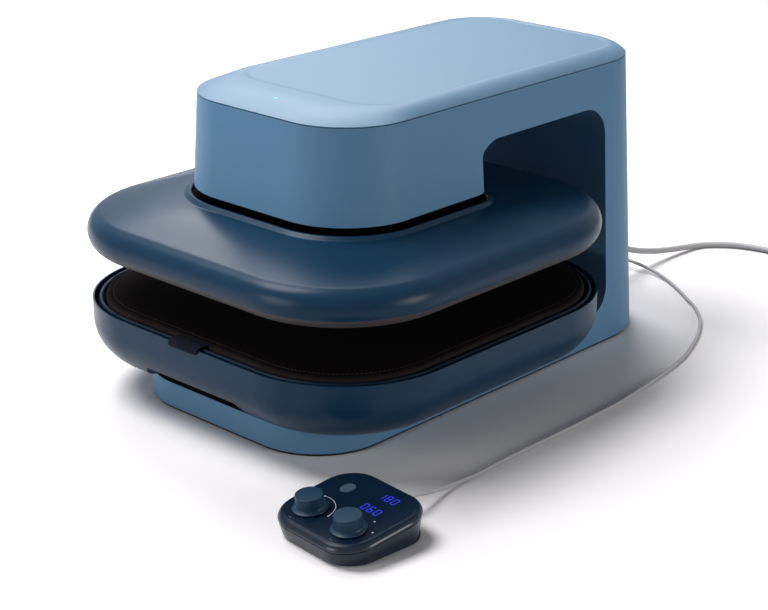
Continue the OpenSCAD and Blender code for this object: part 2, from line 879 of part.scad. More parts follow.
// Mat section: a rounded upper edge on a straight side
module mat_side() {
    union() {
        translate([0, mat_z - mat_t]) square([mat_r, mat_t - mat_round]);
        translate([0, mat_z - mat_t]) square([mat_r - mat_round, mat_t]);
        translate([mat_r - mat_round, mat_z - mat_round]) circle(mat_round);
    }
}

module pressing_mat() {
    color("#1b1a1c")
        filled_loop(platen_x, platen_y0, platen_y1, mat_z - mat_t, mat_z) mat_side();
}

// Side view of the tab, sewn into the mat's edge and hung over the rim, y to the right and z up
module tab_view() {
    inner = platen_y0 - mat_r + mat_round;
    outer = platen_y0 - tray_r - seat;
    low = rim_z - tab_drop;
    z = rim_z + tab_lift;
    polygon([[inner, z], [inner, z + tab_t], [outer - tab_t / 2, z + 2 * tab_t],
        [outer - tab_t, z + 3 * tab_t / 2], [outer - tab_t, low], [outer, low], [outer, z + tab_t]]);
}

module mat_tab() {
    color("#101c2c")
        translate([-tab_w / 2, 0, 0]) rotate([90, 0, 90]) linear_extrude(tab_w) tab_view();
}

// Control pod

// Places children in the pod's frame on the bench
module on_pod() {
    translate([pod_x, pod_y, 0]) rotate([0, 0, pod_yaw]) children();
}

// Places children on the pod's sloping top, z outward
module on_pod_top() {
    on_pod() translate([0, 0, pod_h]) rotate([pod_tilt, 0, 0]) children();
}

// Half section of the pod below its top face
module pod_side(inset) {
    r = pod_r - inset;
    low = -pod_h - pod_d / 4;
    round_in = pod_round - inset;
    union() {
        polygon([[0, low], [r + low * tan(pod_draft), low], [r, -pod_round], [0, -pod_round]]);
        translate([0, -pod_round]) square([r - round_in, round_in]);
        intersection() {
            translate([r - round_in, -pod_round]) circle(round_in);
            translate([0, -pod_round]) square([r, pod_round]);
        }
    }
}

module pod_block(inset) {
    translate([0, 0, pod_h])
        rotate([pod_tilt, 0, 0])
            filled_loop(pod_w / 2 - pod_r, pod_r - pod_d / 2, pod_d / 2 - pod_r, -pod_h - pod_d / 4, -inset)
                pod_side(inset);
}

function knob_places() = [[-knob_pitch / 2, -knob_front], [knob_pitch / 2, -knob_front]];

module oval(l, w, z0, z1) {
    translate([0, 0, z0])
        linear_extrude(z1 - z0) {
            square([l - w, w], center = true);
            for (x = [w - l, l - w]) translate([x / 2, 0]) circle(w / 2);
        }
}

module rounded_window(grow, z0, z1) {
    r = 4;
    translate([window_x, window_y, 0])
        prism(window_w / 2 - r, r - window_d / 2, window_d / 2 - r, r + grow, z0, z1);
}

module pod_case() {
    color("#16293c")
        difference() {
            on_pod()
                difference() {
                    pod_block(0);
                    pod_block(pod_wall);
                    translate([-far, -far, -far]) cube([2 * far, 2 * far, far + pod_foot_t]);
                }
            on_pod_top() {
                for (p = knob_places()) peg(p[0], p[1], shaft_d / 2 + pod_fit, -8, 1);
                translate([button_x, button_y, 0])
                    oval(button_l + 2 * pod_fit, button_w + 2 * pod_fit, -8, 1);
                rounded_window(pod_fit, -8, 1);
            }
            on_pod()
                translate([pod_cord_x, 0, pod_cord_z])
                    rotate([-90, 0, 0]) cylinder(h = pod_d, r = relief_r + seat);
        }
}

module pod_base() {
    color("#101a26")
        on_pod()
            intersection() {
                pod_block(pod_wall + seat);
                translate([-pod_w / 2, -pod_d / 2, pod_foot_t]) cube([pod_w, pod_d, pod_base_t]);
            }
}

function pod_corner_places() = [for (x = [-0.3, 0.3], y = [-0.28, 0.28]) [x * pod_w, y * pod_d]];

module pod_feet() {
    color("#0b0c0e")
        on_pod()
            for (p = pod_corner_places()) peg(p[0], p[1], pod_r / 5, 0, pod_foot_t);
}

module pod_board() {
    half = pod_w * 0.37;
    front = knob_front + shaft_d + 6;
    leg = shaft_d;
    color("#1f5a37") {
        on_pod_top()
            difference() {
                translate([-half, -front, pod_board_z]) cube([2 * half, 2 * front, pod_board_t]);
                for (p = knob_places()) peg(p[0], p[1], shaft_d / 2 + 1, pod_board_z - 1, pod_board_z + 3);
            }
        on_pod()
            for (x = [leg - half, half - leg])
                difference() {
                    translate([x - leg / 2, -leg, pod_foot_t + pod_base_t]) cube([leg, front - leg, pod_h]);
                    translate([0, 0, pod_h]) rotate([pod_tilt, 0, 0])
                        translate([-far, -far, pod_board_z + pod_board_t / 3]) cube([2 * far, 2 * far, far]);
                }
    }
}

module encoders() {
    z = pod_board_z + pod_board_t;
    color("#5c6066")
        on_pod_top()
            for (p = knob_places())
                difference() {
                    translate([p[0] - shaft_d, p[1] - shaft_d, z])
                        cube([2 * shaft_d, 2 * shaft_d, encoder_h]);
                    peg(p[0], p[1], shaft_d / 2 + run_fit, z - 1, z + encoder_h + 1);
                }
}

module encoder_shaft(p) {
    color("#b9bdc2")
        on_pod_top() peg(p[0], p[1], shaft_d / 2, pod_board_z + pod_board_t + 0.5, knob_h - 4);
}

module left_shaft() {
    encoder_shaft(knob_places()[0]);
}

module right_shaft() {
    encoder_shaft(knob_places()[1]);
}

// Turned knob: a thin skirt that sweeps up into a slightly tapered grip
module knob(p) {
    skirt = 1.8;
    sweep = (knob_skirt_d - knob_d) / 2 - 0.5;
    top = 0.8;
    height = knob_h - pod_fit;
    r = knob_d / 2;
    color("#2f4a60")
        on_pod_top()
            translate([p[0], p[1], pod_fit])
                difference() {
                    rotate_extrude()
                        difference() {
                            union() {
                                square([knob_skirt_d / 2, skirt]);
                                polygon([[0, 0], [r + 0.5, 0], [r, height - top], [r - top, height],
                                    [0, height]]);
                                translate([0, skirt]) square([r + sweep, sweep]);
                            }
                            translate([r + 0.5 + sweep, skirt + sweep]) circle(sweep);
                        }
                    translate([0, 0, -1]) cylinder(h = knob_h - 4 - pod_fit + 1.3, r = shaft_d / 2);
                }
}

module left_knob() {
    knob(knob_places()[0]);
}

module right_knob() {
    knob(knob_places()[1]);
}

module pod_button() {
    color("#3a536b")
        on_pod_top()
            translate([button_x, button_y, 0]) {
                oval(button_l, button_w, -pod_wall - pod_fit, button_travel + 0.2);
                oval(button_l + 4, button_w + 4, -pod_wall - 1.8, -pod_wall - pod_fit);
            }
}

module button_switch() {
    z = pod_board_z + pod_board_t;
    top = -pod_wall - 1.8 - button_travel - 0.2;
    color("#202327")
        on_pod_top() translate([button_x - 3, button_y - 3, z]) cube([6, 6, top - z]);
}

module display_window() {
    color("#060b14")
        on_pod_top() {
            rounded_window(0, -pod_wall, 0);
            rounded_window(-2, pod_board_z + pod_board_t, -pod_wall);
        }
}

// Cords

// Point on a smooth curve through a route, t in segments
function route_point(route, t) =
    let (
        last = len(route) - 1,
        i = min(floor(t), last - 1),
        u = t - i,
        a = route[max(i - 1, 0)],
        b = route[i],
        c = route[i + 1],
        d = route[min(i + 2, last)]
    )
    0.5 * (2 * b + (c - a) * u + (2 * a - 5 * b + 4 * c - d) * u * u + (3 * b - a - 3 * c + d) * u * u * u);

// Points along a route, whose first and last segments stay straight
function route_points(route, steps) =
    let (last = len(route) - 1)
    [route[0], for (k = [steps:(last - 1) * steps]) route_point(route, k / steps), route[last]];

function unit(v) = v / norm(v);

// Directions along a path: the end directions follow the first and last step
function path_dir(path, k) = unit(path[min(k + 1, len(path) - 1)] - path[max(k - 1, 0)]);

// Ring of a tube, with one side kept level
function tube_ring(centre, dir, r, sides) =
    let (side = unit(cross(dir, [0, 0, 1])), up = cross(side, dir))
    [for (j = [0:sides - 1]) let (a = 360 * (j + 0.5) / sides) centre + r * (cos(a) * side + sin(a) * up)];

// One closed tube along a path
module tube(path, r, sides) {
    n = len(path);
    points = [for (k = [0:n - 1]) each tube_ring(path[k], path_dir(path, k), r, sides)];
    walls = [for (k = [0:n - 2], j = [0:sides - 1])
        let (a = k * sides + j, b = k * sides + (j + 1) % sides)
        each [[a, b + sides, b], [a, a + sides, b + sides]]];
    last = (n - 1) * sides;
    ends = [for (j = [1:sides - 2]) each [[0, j, j + 1], [last, last + j + 1, last + j]]];
    polyhedron(points = points, faces = concat(walls, ends));
}

module control_cord() {
    color("#cfd2d4") tube(route_points(control_route, 2), control_d / 2, 8);
}

module pod_relief() {
    inside = 8;
    color("#c3c6c9")
        on_pod()
            translate([pod_cord_x, control_y - pod_relief_l, pod_cord_z])
                rotate([-90, 0, 0]) {
                    translate([0, 0, -inside]) cylinder(h = inside, r = relief_r);
                    cylinder(h = pod_relief_l, r1 = relief_r, r2 = control_d / 2 + 0.4);
                }
}

module control_plug() {
    grip = 14;
    color("#c3c6c9")
        on_back(socket_x, socket_z) {
            translate([0, 0, seat]) cylinder(h = grip - seat, r = 6.2);
            translate([0, 0, grip]) cylinder(h = plug_l - grip, r1 = 5, r2 = control_d / 2 + 0.6);
        }
}

module control_socket() {
    color("#101418")
        on_back(socket_x, socket_z) translate([0, 0, -bore_l]) cylinder(h = bore_l, r = socket_r);
}

module mains_gland() {
    color("#1a1d20")
        on_back(gland_x, gland_z)
            difference() {
                union() {
                    translate([0, 0, -bore_l]) cylinder(h = bore_l, r = gland_r);
                    cylinder(h = gland_t, r = 2 * gland_r - mains_r);
                }
                translate([0, 0, -bore_l - 1]) cylinder(h = bore_l + gland_t + 2, r = mains_r + seat);
            }
}

module mains_relief() {
    color("#c9cccf")
        on_back(gland_x, gland_z)
            translate([0, 0, gland_t]) cylinder(h = relief_l - gland_t, r1 = mains_r + 3, r2 = mains_r + 0.4);
}

module mains_cord() {
    color("#d4d6d8") tube(route_points(mains_route, 2), mains_r, 10);
}

// Centre line of the coil: in along the lower layer, half a turn up, out along the upper layer
function coil_lift(f) = 45 * (1 - cos(360 * min(max(f, 0), 0.5)));
function coil_point(turn) =
    let (
        up = coil_lift(turn - coil_in),
        part = turn - floor(turn),
        past = turn >= coil_in + 1 && part < 0.5 ? sin(coil_lift(part)) - 2 * part : 0,
        r = coil_r - coil_pitch * (coil_in - abs(coil_in + 0.5 - turn) + 0.5 - past),
        a = 360 * turn - 90
    )
    [coil_x + r * cos(a), coil_y + r * sin(a), coil_z + coil_pitch * (1 - cos(up))];

coil_turns = coil_in + 0.5 + coil_out;
coil_path = concat(
    [coil_point(0) - [mains_d, 0, 0]],
    [for (k = [0:coil_turns * coil_steps]) coil_point(k / coil_steps)],
    [coil_point(coil_turns) + [mains_d, 0, 0], coil_point(coil_turns) + [3 * mains_d, 0, 0]]
);
coil_clear = min([for (i = [0:len(coil_path) - 1], j = [i + 8:1:len(coil_path) - 1])
    norm(coil_path[i] - coil_path[j])]) - mains_d;
echo(coil_clear = coil_clear);

module mains_coil() {
    color("#d4d6d8") tube(coil_path, mains_r, 6);
}

// Moulded plug that lies on the bench behind the coil
plug_tail = coil_path[len(coil_path) - 1];
plug_neck = 22;
plug_body = 26;
plug_r = plug_tail[2] - skin;

module mains_plug() {
    color("#d9dbdc")
        translate(plug_tail)
            rotate([0, 90, 0]) {
                cylinder(h = plug_neck, r1 = mains_r + 0.6, r2 = mains_r + 2.5);
                translate([0, 0, plug_neck]) cylinder(h = plug_body, r = plug_r);
            }
}

module plug_pins() {
    pitch = 12.7;
    blade = [17, 1.5, 6.3];
    color("#c9b37a")
        translate(plug_tail + [plug_neck + plug_body, 0, 0]) {
            for (y = [-pitch / 2, pitch / 2]) translate([0, y - blade[1] / 2, -blade[2] / 3]) cube(blade);
            translate([0, 0, -pitch / 2]) rotate([0, 90, 0]) cylinder(h = 20, r = 2.4);
        }
}

rubber_sole();
bottom_plate();
body_shell();
top_cover();
status_light();
base_frame();
column_posts();
arm_rails();
rail_bolts();
drive_plate();
gearbox();
lift_motor();
screw_bearing();
guide_rods();
power_board();
board_pillars();
tray();
tray_liner();
foam_pad();
pressing_mat();
mat_tab();
platen_cover();
collar();
heat_shield();
heat_plate();
heating_element();
thermal_cutout();
insulation();
backing_plate();
carriage_posts();
carriage_plate();
guide_bushes();
drive_nut();
lead_screw();
pod_case();
pod_base();
pod_feet();
pod_board();
encoders();
left_shaft();
left_knob();
right_shaft();
right_knob();
pod_button();
button_switch();
display_window();
pod_relief();
control_cord();
control_plug();
control_socket();
mains_relief();
mains_gland();
mains_cord();
mains_coil();
mains_plug();
plug_pins();
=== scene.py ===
# %% [markdown]
# A flat heat press, dressed for its photograph. The press is a leaning moulded body that holds a heated upper
# plate over a padded tray, with a small control pod on a cord in front of it. The CAD model gives each solid
# its place, and this lesson gives what shows its skin and its finish. Helpers count in millimetres, as on a
# drawing, and a mesh turns them into metres where it is made.

# %% Frame
import json
import math

import bmesh
import bpy
import numpy as np
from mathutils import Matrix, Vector


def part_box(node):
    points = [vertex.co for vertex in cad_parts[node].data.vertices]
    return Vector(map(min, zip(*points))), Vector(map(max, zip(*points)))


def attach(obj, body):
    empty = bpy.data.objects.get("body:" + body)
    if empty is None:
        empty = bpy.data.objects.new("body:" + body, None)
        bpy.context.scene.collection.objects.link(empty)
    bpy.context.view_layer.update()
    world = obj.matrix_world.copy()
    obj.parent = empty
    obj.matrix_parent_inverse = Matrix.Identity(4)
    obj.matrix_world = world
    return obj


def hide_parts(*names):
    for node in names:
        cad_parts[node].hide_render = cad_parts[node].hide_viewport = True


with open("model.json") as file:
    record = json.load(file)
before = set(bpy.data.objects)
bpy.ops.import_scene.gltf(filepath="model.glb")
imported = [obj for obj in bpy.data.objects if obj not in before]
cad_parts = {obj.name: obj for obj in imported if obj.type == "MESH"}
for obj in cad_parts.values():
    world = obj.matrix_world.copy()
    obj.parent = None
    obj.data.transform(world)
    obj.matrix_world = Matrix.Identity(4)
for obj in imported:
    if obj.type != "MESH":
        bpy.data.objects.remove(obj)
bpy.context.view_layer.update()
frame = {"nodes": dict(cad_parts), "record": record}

MM = 0.001
nodes = frame["nodes"]
scene = bpy.context.scene
scene.view_settings.view_transform = "Standard"

# %% [markdown]
# The camera stands where the photograph was taken: in front and to the right, looking down by about 21
# degrees through a long lens. Place and lens were worked out from the outlines of plate, tray and arm. It
# comes first, because the cords are laid out by what it sees.

# %% Camera
eye = Vector((1187.5, -1295.0, 725.9)) * MM
turn, pitch = math.radians(43.206), math.radians(21.047)
focal_px, image_w = 1844.5, 768
back = Vector((math.sin(turn) * math.cos(pitch), -math.cos(turn) * math.cos(pitch), math.sin(pitch)))
lens = bpy.data.cameras.new("photo_lens")
lens.sensor_width = 36
lens.lens = focal_px * lens.sensor_width / image_w
lens.clip_start, lens.clip_end = 0.05, 60
camera = bpy.data.objects.new("photo_camera", lens)
scene.collection.objects.link(camera)
camera.location = eye
camera.rotation_mode = "QUATERNION"
camera.rotation_quaternion = (-back).to_track_quat("-Z", "Y")
scene.camera = camera
print("lens", round(lens.lens, 2), "mm")

# %% [markdown]
# Finishes are written as sums. One small class wraps a socket of a node tree: adding or multiplying two of
# them adds the Math node that does it, and its node method makes any other node. What is the same all over a
# surface is set on the shader itself, and only what varies is wired to it.

# %% Shader sums
class Wire:
    """A socket in a material's tree."""

    def __init__(self, tree, socket=None):
        self.tree, self.socket = tree, socket

    def node(self, kind, settings=None, sockets=None, output=0):
        """A new node with its settings, then the values or links of its sockets."""
        made = self.tree.nodes.new("ShaderNode" + kind)
        for key, value in (settings or {}).items():
            setattr(made, key, value)
        for key, value in (sockets or {}).items():
            if isinstance(value, Wire):
                self.tree.links.new(value.socket, made.inputs[key])
            else:
                made.inputs[key].default_value = value
        return Wire(self.tree, made.outputs[output])

    def sum(self, operation, first, second):
        return self.node("Math", {"operation": operation}, {0: first, 1: second})

    def __add__(self, other):
        return self.sum("ADD", self, other)

    __radd__ = __add__

    def __sub__(self, other):
        return self.sum("SUBTRACT", self, other)

    def __rsub__(self, other):
        return self.sum("SUBTRACT", other, self)

    def __mul__(self, other):
        return self.sum("MULTIPLY", self, other)

    __rmul__ = __mul__

    def noise(self, size, detail=2.0, rough=0.5):
        """Noise whose clouds are about size millimetres wide, from 0 to 1."""
        sockets = {"Vector": self, "Scale": 1 / (size * MM), "Detail": detail, "Roughness": rough}
        return self.node("TexNoise", {}, sockets, "Fac")

    def blend(self, first, second):
        """From one colour to another by this value."""
        return self.node("Mix", {"data_type": "RGBA"}, {0: self, 6: first, 7: second}, 2)

    def bump(self, depth, strength=1.0):
        """Normal of a relief of this height, depth millimetres deep."""
        return self.node("Bump", {}, {"Height": self, "Distance": depth * MM, "Strength": strength})


def srgb(r, g, b):
    """Colour as read off a screen, 0 to 255, as the linear one that shaders take."""
    return *(c / 255 / 12.92 if c <= 10 else ((c / 255 + 0.055) / 1.055) ** 2.4 for c in (r, g, b)), 1.0


def shaded(colour, share):
    """The same colour, darker or lighter by a share."""
    return *(c * share for c in colour[:3]), 1.0


def finish(name, paint, **constants):
    """A material: constants go on the shader's sockets, paint says what varies over the surface."""
    material = bpy.data.materials.new(name)
    material.use_nodes = True
    tree = material.node_tree
    shader = tree.nodes["Principled BSDF"]
    for socket, value in constants.items():
        shader.inputs[socket.replace("_", " ")].default_value = value
    place = Wire(tree).node("TexCoord", output="Object")
    for socket, wire in paint(place).items():
        tree.links.new(wire.socket, shader.inputs[socket])
    return material


print("half grey on a screen is", round(srgb(128, 128, 128)[0], 3), "in a shader")

# %% [markdown]
# Most of the press is moulded plastic with a satin skin. Up close such a skin is spark-eroded: fine, even
# pits that soften the gloss. From a step away it shows as a slow drift in tone and shine. Both come from
# noise, one cloud some centimetres wide and one grain of about a millimetre.

# %% Moulded plastics
def moulded(colour, rough, grain=0.9, pits=0.012, drift=0.05):
    """Satin plastic. The skin's grain and pits are in millimetres, and its tone drifts by a share."""
    def paint(place):
        cloud, fine = place.noise(90, 3.0), place.noise(grain, 2.0)
        return {
            "Base Color": cloud.blend(shaded(colour, 1 - drift), shaded(colour, 1 + drift)),
            "Roughness": rough + 0.08 * (cloud - 0.5) + 0.06 * (fine - 0.5),
            "Normal": fine.bump(pits),
        }
    return paint


def plastic(name, colour, rough, gloss, **skin):
    """Finish of a moulded part."""
    return finish(name, moulded(colour, rough, **skin), Specular_IOR_Level=gloss)


body_blue = plastic("body_plastic", srgb(99, 144, 180), 0.48, 0.22)
# The lid is the body's plastic. This copy's greyer colour paints the sheen of the lit top.
lid_blue_painted_sheen = plastic("lid_plastic", srgb(104, 140, 170), 0.46, 0.34)
navy = plastic("navy_plastic", srgb(20, 57, 84), 0.31, 0.16)
liner_navy = plastic("liner_plastic", srgb(14, 36, 58), 0.45, 0.12)
knob_slate = plastic("knob_plastic", srgb(30, 60, 84), 0.36, 0.2)
black = plastic("black_plastic", srgb(11, 13, 16), 0.55, 0.2)
# Near-black and matt: dark plastic, darkened further as painted shade in the slot and over the foot.
dark_and_painted_shade = plastic("dark_plastic_and_painted_shade", srgb(4, 6, 9), 0.8, 0.02)
shield_grey = plastic("shield_plastic", srgb(70, 66, 67), 0.55, 0.35)
sole_black = plastic("sole_rubber", srgb(24, 25, 27), 0.75, 0.3, grain=1.6, pits=0.04)
cord_pale = plastic("cord_jacket", srgb(196, 194, 196), 0.48, 0.4, grain=2.2, pits=0.02)
white_print = plastic("white_print", srgb(205, 212, 218), 0.6, 0.3, pits=0.004)
print(len(bpy.data.materials), "materials so far")

# %% [markdown]
# The press has two cords. A thin one runs from the pod over the bench and round to a plug behind the column,
# and the photograph shows nearly all of it. A thicker mains cord leaves behind the column. Only its first
# stretch shows, so the rest is wound up and tied behind the press, out of sight. Both follow the routes of
# the CAD solids as one smooth line, because a cord is a fixed length that lies under its own weight.

# %% Cord routes
# The arm's plan by the centres of its round corners, and the seam under the lid, from which the sides lean.
arm_x, arm_y0, arm_y1, arm_r = 49.5, -133.0, 174.0, 70.0
seam_z, draft = 291.6, math.radians(3.44)
socket_x, socket_z = -34.0, 22.0
gland_x, gland_z = 26.0, 34.0
pod_at, pod_h = np.array((238.3, -325.4, 0.0)), 25.2
pod_yaw, pod_tilt = math.radians(-5.3), math.radians(6.3)


def body_r(z):
    """Corner radius of the leaning body at a height."""
    return arm_r + (seam_z - z) * math.tan(draft)


def on_pod(points):
    """Points in the pod's own frame, moved to the bench."""
    x, y, z = np.array(points, float).reshape(-1, 3).T
    c, s = math.cos(pod_yaw), math.sin(pod_yaw)
    return np.c_[c * x - s * y, s * x + c * y, z] + pod_at


def on_pod_top(points):
    """Points on the pod's sloping top, z away from it, moved to the bench."""
    x, y, z = np.array(points, float).reshape(-1, 3).T
    c, s = math.cos(pod_tilt), math.sin(pod_tilt)
    return on_pod(np.c_[x, c * y - s * z, pod_h + s * y + c * z])


def on_back(x, z, out):
    """A point out from the leaning back wall."""
    return (x, arm_y1 + body_r(z) + out * math.cos(draft), z + out * math.sin(draft))


def smooth_line(route, steps):
    """Smooth line through a route, whose first and last stretches stay straight."""
    p = np.array(route, float)
    line = [p[0]]
    for a, b, c, d in zip(p, p[1:], p[2:], p[3:]):
        for u in np.arange(steps) / steps:
            line.append(0.5 * (2 * b + (c - a) * u + (2 * a - 5 * b + 4 * c - d) * u**2
                               + (3 * b - a - 3 * c + d) * u**3))
    return np.array(line + [p[-2], p[-1]])


control_route = [
    *on_pod([(6, 65.5, 16), (6, 69.3, 16)]), (249, -240, 11.5), (246, -222, 7), (244, -198, 3.4),
    (244, -167, 2), (243, -138, 2), (243, -110, 2), (244, -53, 2), (244, -7, 2), (243, 42, 2), (239, 81, 2),
    (234, 120, 2), (226, 166, 2), (216, 198, 2), (199, 238, 2), (177, 275, 2), (152, 302, 2), (132, 317, 2),
    (112, 332, 2), (84, 350, 2.5), (56, 361, 4.5), (30, 362, 8), (6, 356, 12), (-15, 342, 17), (-28, 324, 22),
    on_back(socket_x, socket_z, 37.8), on_back(socket_x, socket_z, 34)]
mains_route = [
    on_back(gland_x, gland_z, 53), on_back(gland_x, gland_z, 60), (27, 345, 29), (28, 370, 20.5),
    (30, 405, 12), (34, 446, 6), (41, 475, 3.6), (57, 493, 3.6), (77, 506, 3.6), (101, 513, 3.6),
    (128, 516, 3.6), (160, 516, 3.6), (191, 516, 4.6), (198, 516, 4.6)]
print("routes of", len(control_route), "and", len(mains_route), "points")

# %% [markdown]
# The coil is wound as a hand winds it: two turns inwards on the bench, half a turn that climbs onto them, and
# two and a half turns outwards on top, each a little more than a cord's width beside the last. The angle
# grows steadily and the radius follows, so the whole coil is one formula.

# %% Mains coil
coil_at, coil_r, coil_pitch = np.array((205.0, 562.0, 4.6)), 46.0, 7.6
coil_in, coil_turns, turn_steps = 2, 5, 48
plug_stretch = (21.0, 0.0, 0.0)
control_wide, mains_wide = 3.8, 7.0


def coil_lift(f):
    """Climb from the lower to the upper layer, in degrees of a quarter circle."""
    return 45 * (1 - math.cos(math.radians(360 * min(max(f, 0), 0.5))))


def coil_point(turns):
    """A point of the coil after some turns. On the upper layer each turn steps outwards in its first half."""
    part = turns - math.floor(turns)
    stepping = turns >= coil_in + 1 and part < 0.5
    past = math.sin(math.radians(coil_lift(part))) - 2 * part if stepping else 0
    r = coil_r - coil_pitch * (coil_in - abs(coil_in + 0.5 - turns) + 0.5 - past)
    a = math.radians(360 * turns - 90)
    up = coil_pitch * (1 - math.cos(math.radians(coil_lift(turns - coil_in))))
    return coil_at + (r * math.cos(a), r * math.sin(a), up)


def curve_of(name, line):
    """Curve data with one line of points in millimetres."""
    data = bpy.data.curves.new(name, "CURVE")
    data.dimensions = "3D"
    spline = data.splines.new("POLY")
    spline.points.add(len(line) - 1)
    spline.points.foreach_set("co", np.c_[np.array(line) * MM, np.ones(len(line))].ravel())
    return data


def cord_piece(name, line, diameter):
    """A round cord along a line, as a curve with a bevel, and its length in metres."""
    data = curve_of(name, line)
    data.bevel_depth, data.bevel_resolution, data.use_fill_caps = diameter / 2 * MM, 5, True
    data.materials.append(cord_pale)
    piece = bpy.data.objects.new(name, data)
    scene.collection.objects.link(piece)
    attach(piece, "press")
    long = np.linalg.norm(np.diff(np.array(line), axis=0), axis=1).sum() * MM
    print(name, round(long, 3), "m of", diameter, "mm")
    return piece, long


coil_line = [coil_point(k / turn_steps) for k in range(coil_turns * turn_steps + 1)]
control_line = smooth_line(control_route, 8)
mains_line = [*smooth_line(mains_route, 8), *coil_line[1:], coil_line[-1] + plug_stretch]
control_flex, control_long = cord_piece("control_flex", control_line, control_wide)
mains_flex, mains_long = cord_piece("mains_flex", mains_line, mains_wide)
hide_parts("control_cord")
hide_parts("mains_cord", "mains_coil")

# %% [markdown]
# Meshes come from numpy points and faces. One helper makes the object, shades it smooth up to a crease angle,
# weighs its normals by face size so that flat faces stay flat, and lets it ride on its body in place of the
# CAD node that it stands for.

# %% Mesh helpers
bodies = frame["record"]["behaviour"]["bodies"]
body_of = {node: body for body, members in bodies.items() for node in members}


def add_piece(name, mesh, material, stands_for=(), crease=32):
    """Object for a finished mesh, which stands for some CAD nodes or else belongs to the press."""
    mesh.materials.clear()
    mesh.materials.append(material)
    mesh.polygons.foreach_set("use_smooth", np.ones(len(mesh.polygons), bool))
    mesh.set_sharp_from_angle(angle=math.radians(crease))
    piece = bpy.data.objects.new(name, mesh)
    scene.collection.objects.link(piece)
    weights = piece.modifiers.new("even_shading", "WEIGHTED_NORMAL")
    weights.keep_sharp = True
    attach(piece, body_of[stands_for[0]] if stands_for else "press")
    if stands_for:
        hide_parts(*stands_for)
    return piece


weld = 2e-3 * MM


def mesh_of(name, points, faces, outward=True):
    """Mesh from points in millimetres, with doubles merged and faces turned outwards."""
    mesh = bpy.data.meshes.new(name)
    mesh.from_pydata((np.array(points) * MM).tolist(), [], [list(map(int, f)) for f in faces])
    bm = bmesh.new()
    bm.from_mesh(mesh)
    bmesh.ops.remove_doubles(bm, verts=bm.verts, dist=weld)
    bmesh.ops.dissolve_degenerate(bm, edges=bm.edges, dist=weld / 4)
    if outward:
        bmesh.ops.recalc_face_normals(bm, faces=bm.faces)
    bm.to_mesh(mesh)
    bm.free()
    return mesh


def copy_of(node):
    """A merged copy of a CAD node's mesh."""
    source = nodes[node].data
    points = np.empty(len(source.vertices) * 3)
    source.vertices.foreach_get("co", points)
    faces = np.empty(len(source.loops), int)
    source.loops.foreach_get("vertex_index", faces)
    return mesh_of(node + "_skin", points.reshape(-1, 3) / MM, faces.reshape(-1, 3), outward=False)


def skin_of(node, material):
    """A smoothly shaded copy of a CAD node in its place."""
    return add_piece(node + "_skin", copy_of(node), material, (node,))


for node, material, slot in (
        ("rubber_sole", sole_black, "sole_rubber"),
        ("heat_shield", shield_grey, "shield_plastic"),
        ("tray_liner", liner_navy, "liner_plastic"),
        ("pod_relief", cord_pale, "cord_grey"),
        ("mains_relief", cord_pale, "cord_grey"),
        ("control_plug", cord_pale, "cord_grey"),
        ("mains_plug", cord_pale, "cord_grey")):
    made = skin_of(node, material)
    print(made.name, len(made.data.polygons), "faces")

# %% [markdown]
# The tray's belly has a low opening at the front, where fingers get under it. It shows as a dark slit over
# the foot. Its roof is cut a little higher into the copied shell, and a hat of the same plastic closes the
# cut from within. A boolean does both, since cutter and shell are closed solids. A thin black strip along
# the foot's upper edge is painted shadow, where the tray's overhang shades the foot.

# %% Tray with its front opening
def wedge(name, y0, y1, half_low, low, half_top, top):
    """Block whose front view is a trapezium, by half its width at the lower and the upper edge."""
    view = [(-half_low, low), (half_low, low), (half_top, top), (-half_top, top)]
    points = [(x, y, z) for y in (y0, y1) for x, z in view]
    faces = [(0, 1, 2, 3), (7, 6, 5, 4), (0, 4, 5, 1), (1, 5, 6, 2), (2, 6, 7, 3), (3, 7, 4, 0)]
    return mesh_of(name, points, faces)


def cut_mesh(name, mesh, cutter):
    """What is left of a closed mesh when another is taken from it."""
    solids = [bpy.data.objects.new(name + "_solid", part) for part in (mesh, cutter)]
    for solid in solids:
        scene.collection.objects.link(solid)
    cut = solids[0].modifiers.new("cut", "BOOLEAN")
    cut.operation, cut.solver, cut.object = "DIFFERENCE", "EXACT", solids[1]
    made = bpy.data.meshes.new_from_object(solids[0].evaluated_get(bpy.context.evaluated_depsgraph_get()))
    for solid in solids:
        bpy.data.objects.remove(solid)
    made.name = name
    return made


slit = dict(y0=-298, y1=-255.5, half_low=79, low=32, half_top=60, top=52.5)
roof = dict(y0=-283.5, y1=-252.5, half_low=70, low=45, half_top=61.6, top=54)
tray_mesh = cut_mesh("tray_skin", copy_of("tray"), wedge("slit", **slit))
tray = add_piece("tray_skin", tray_mesh, navy, ("tray",))
hat_mesh = cut_mesh("tray_hat", wedge("hat", **roof), wedge("hollow", **slit))
add_piece("tray_hat", hat_mesh, navy, crease=20)

foot_x, foot_y, foot_r, foot_z = 64.5, -187.66, 70.54, 33.0
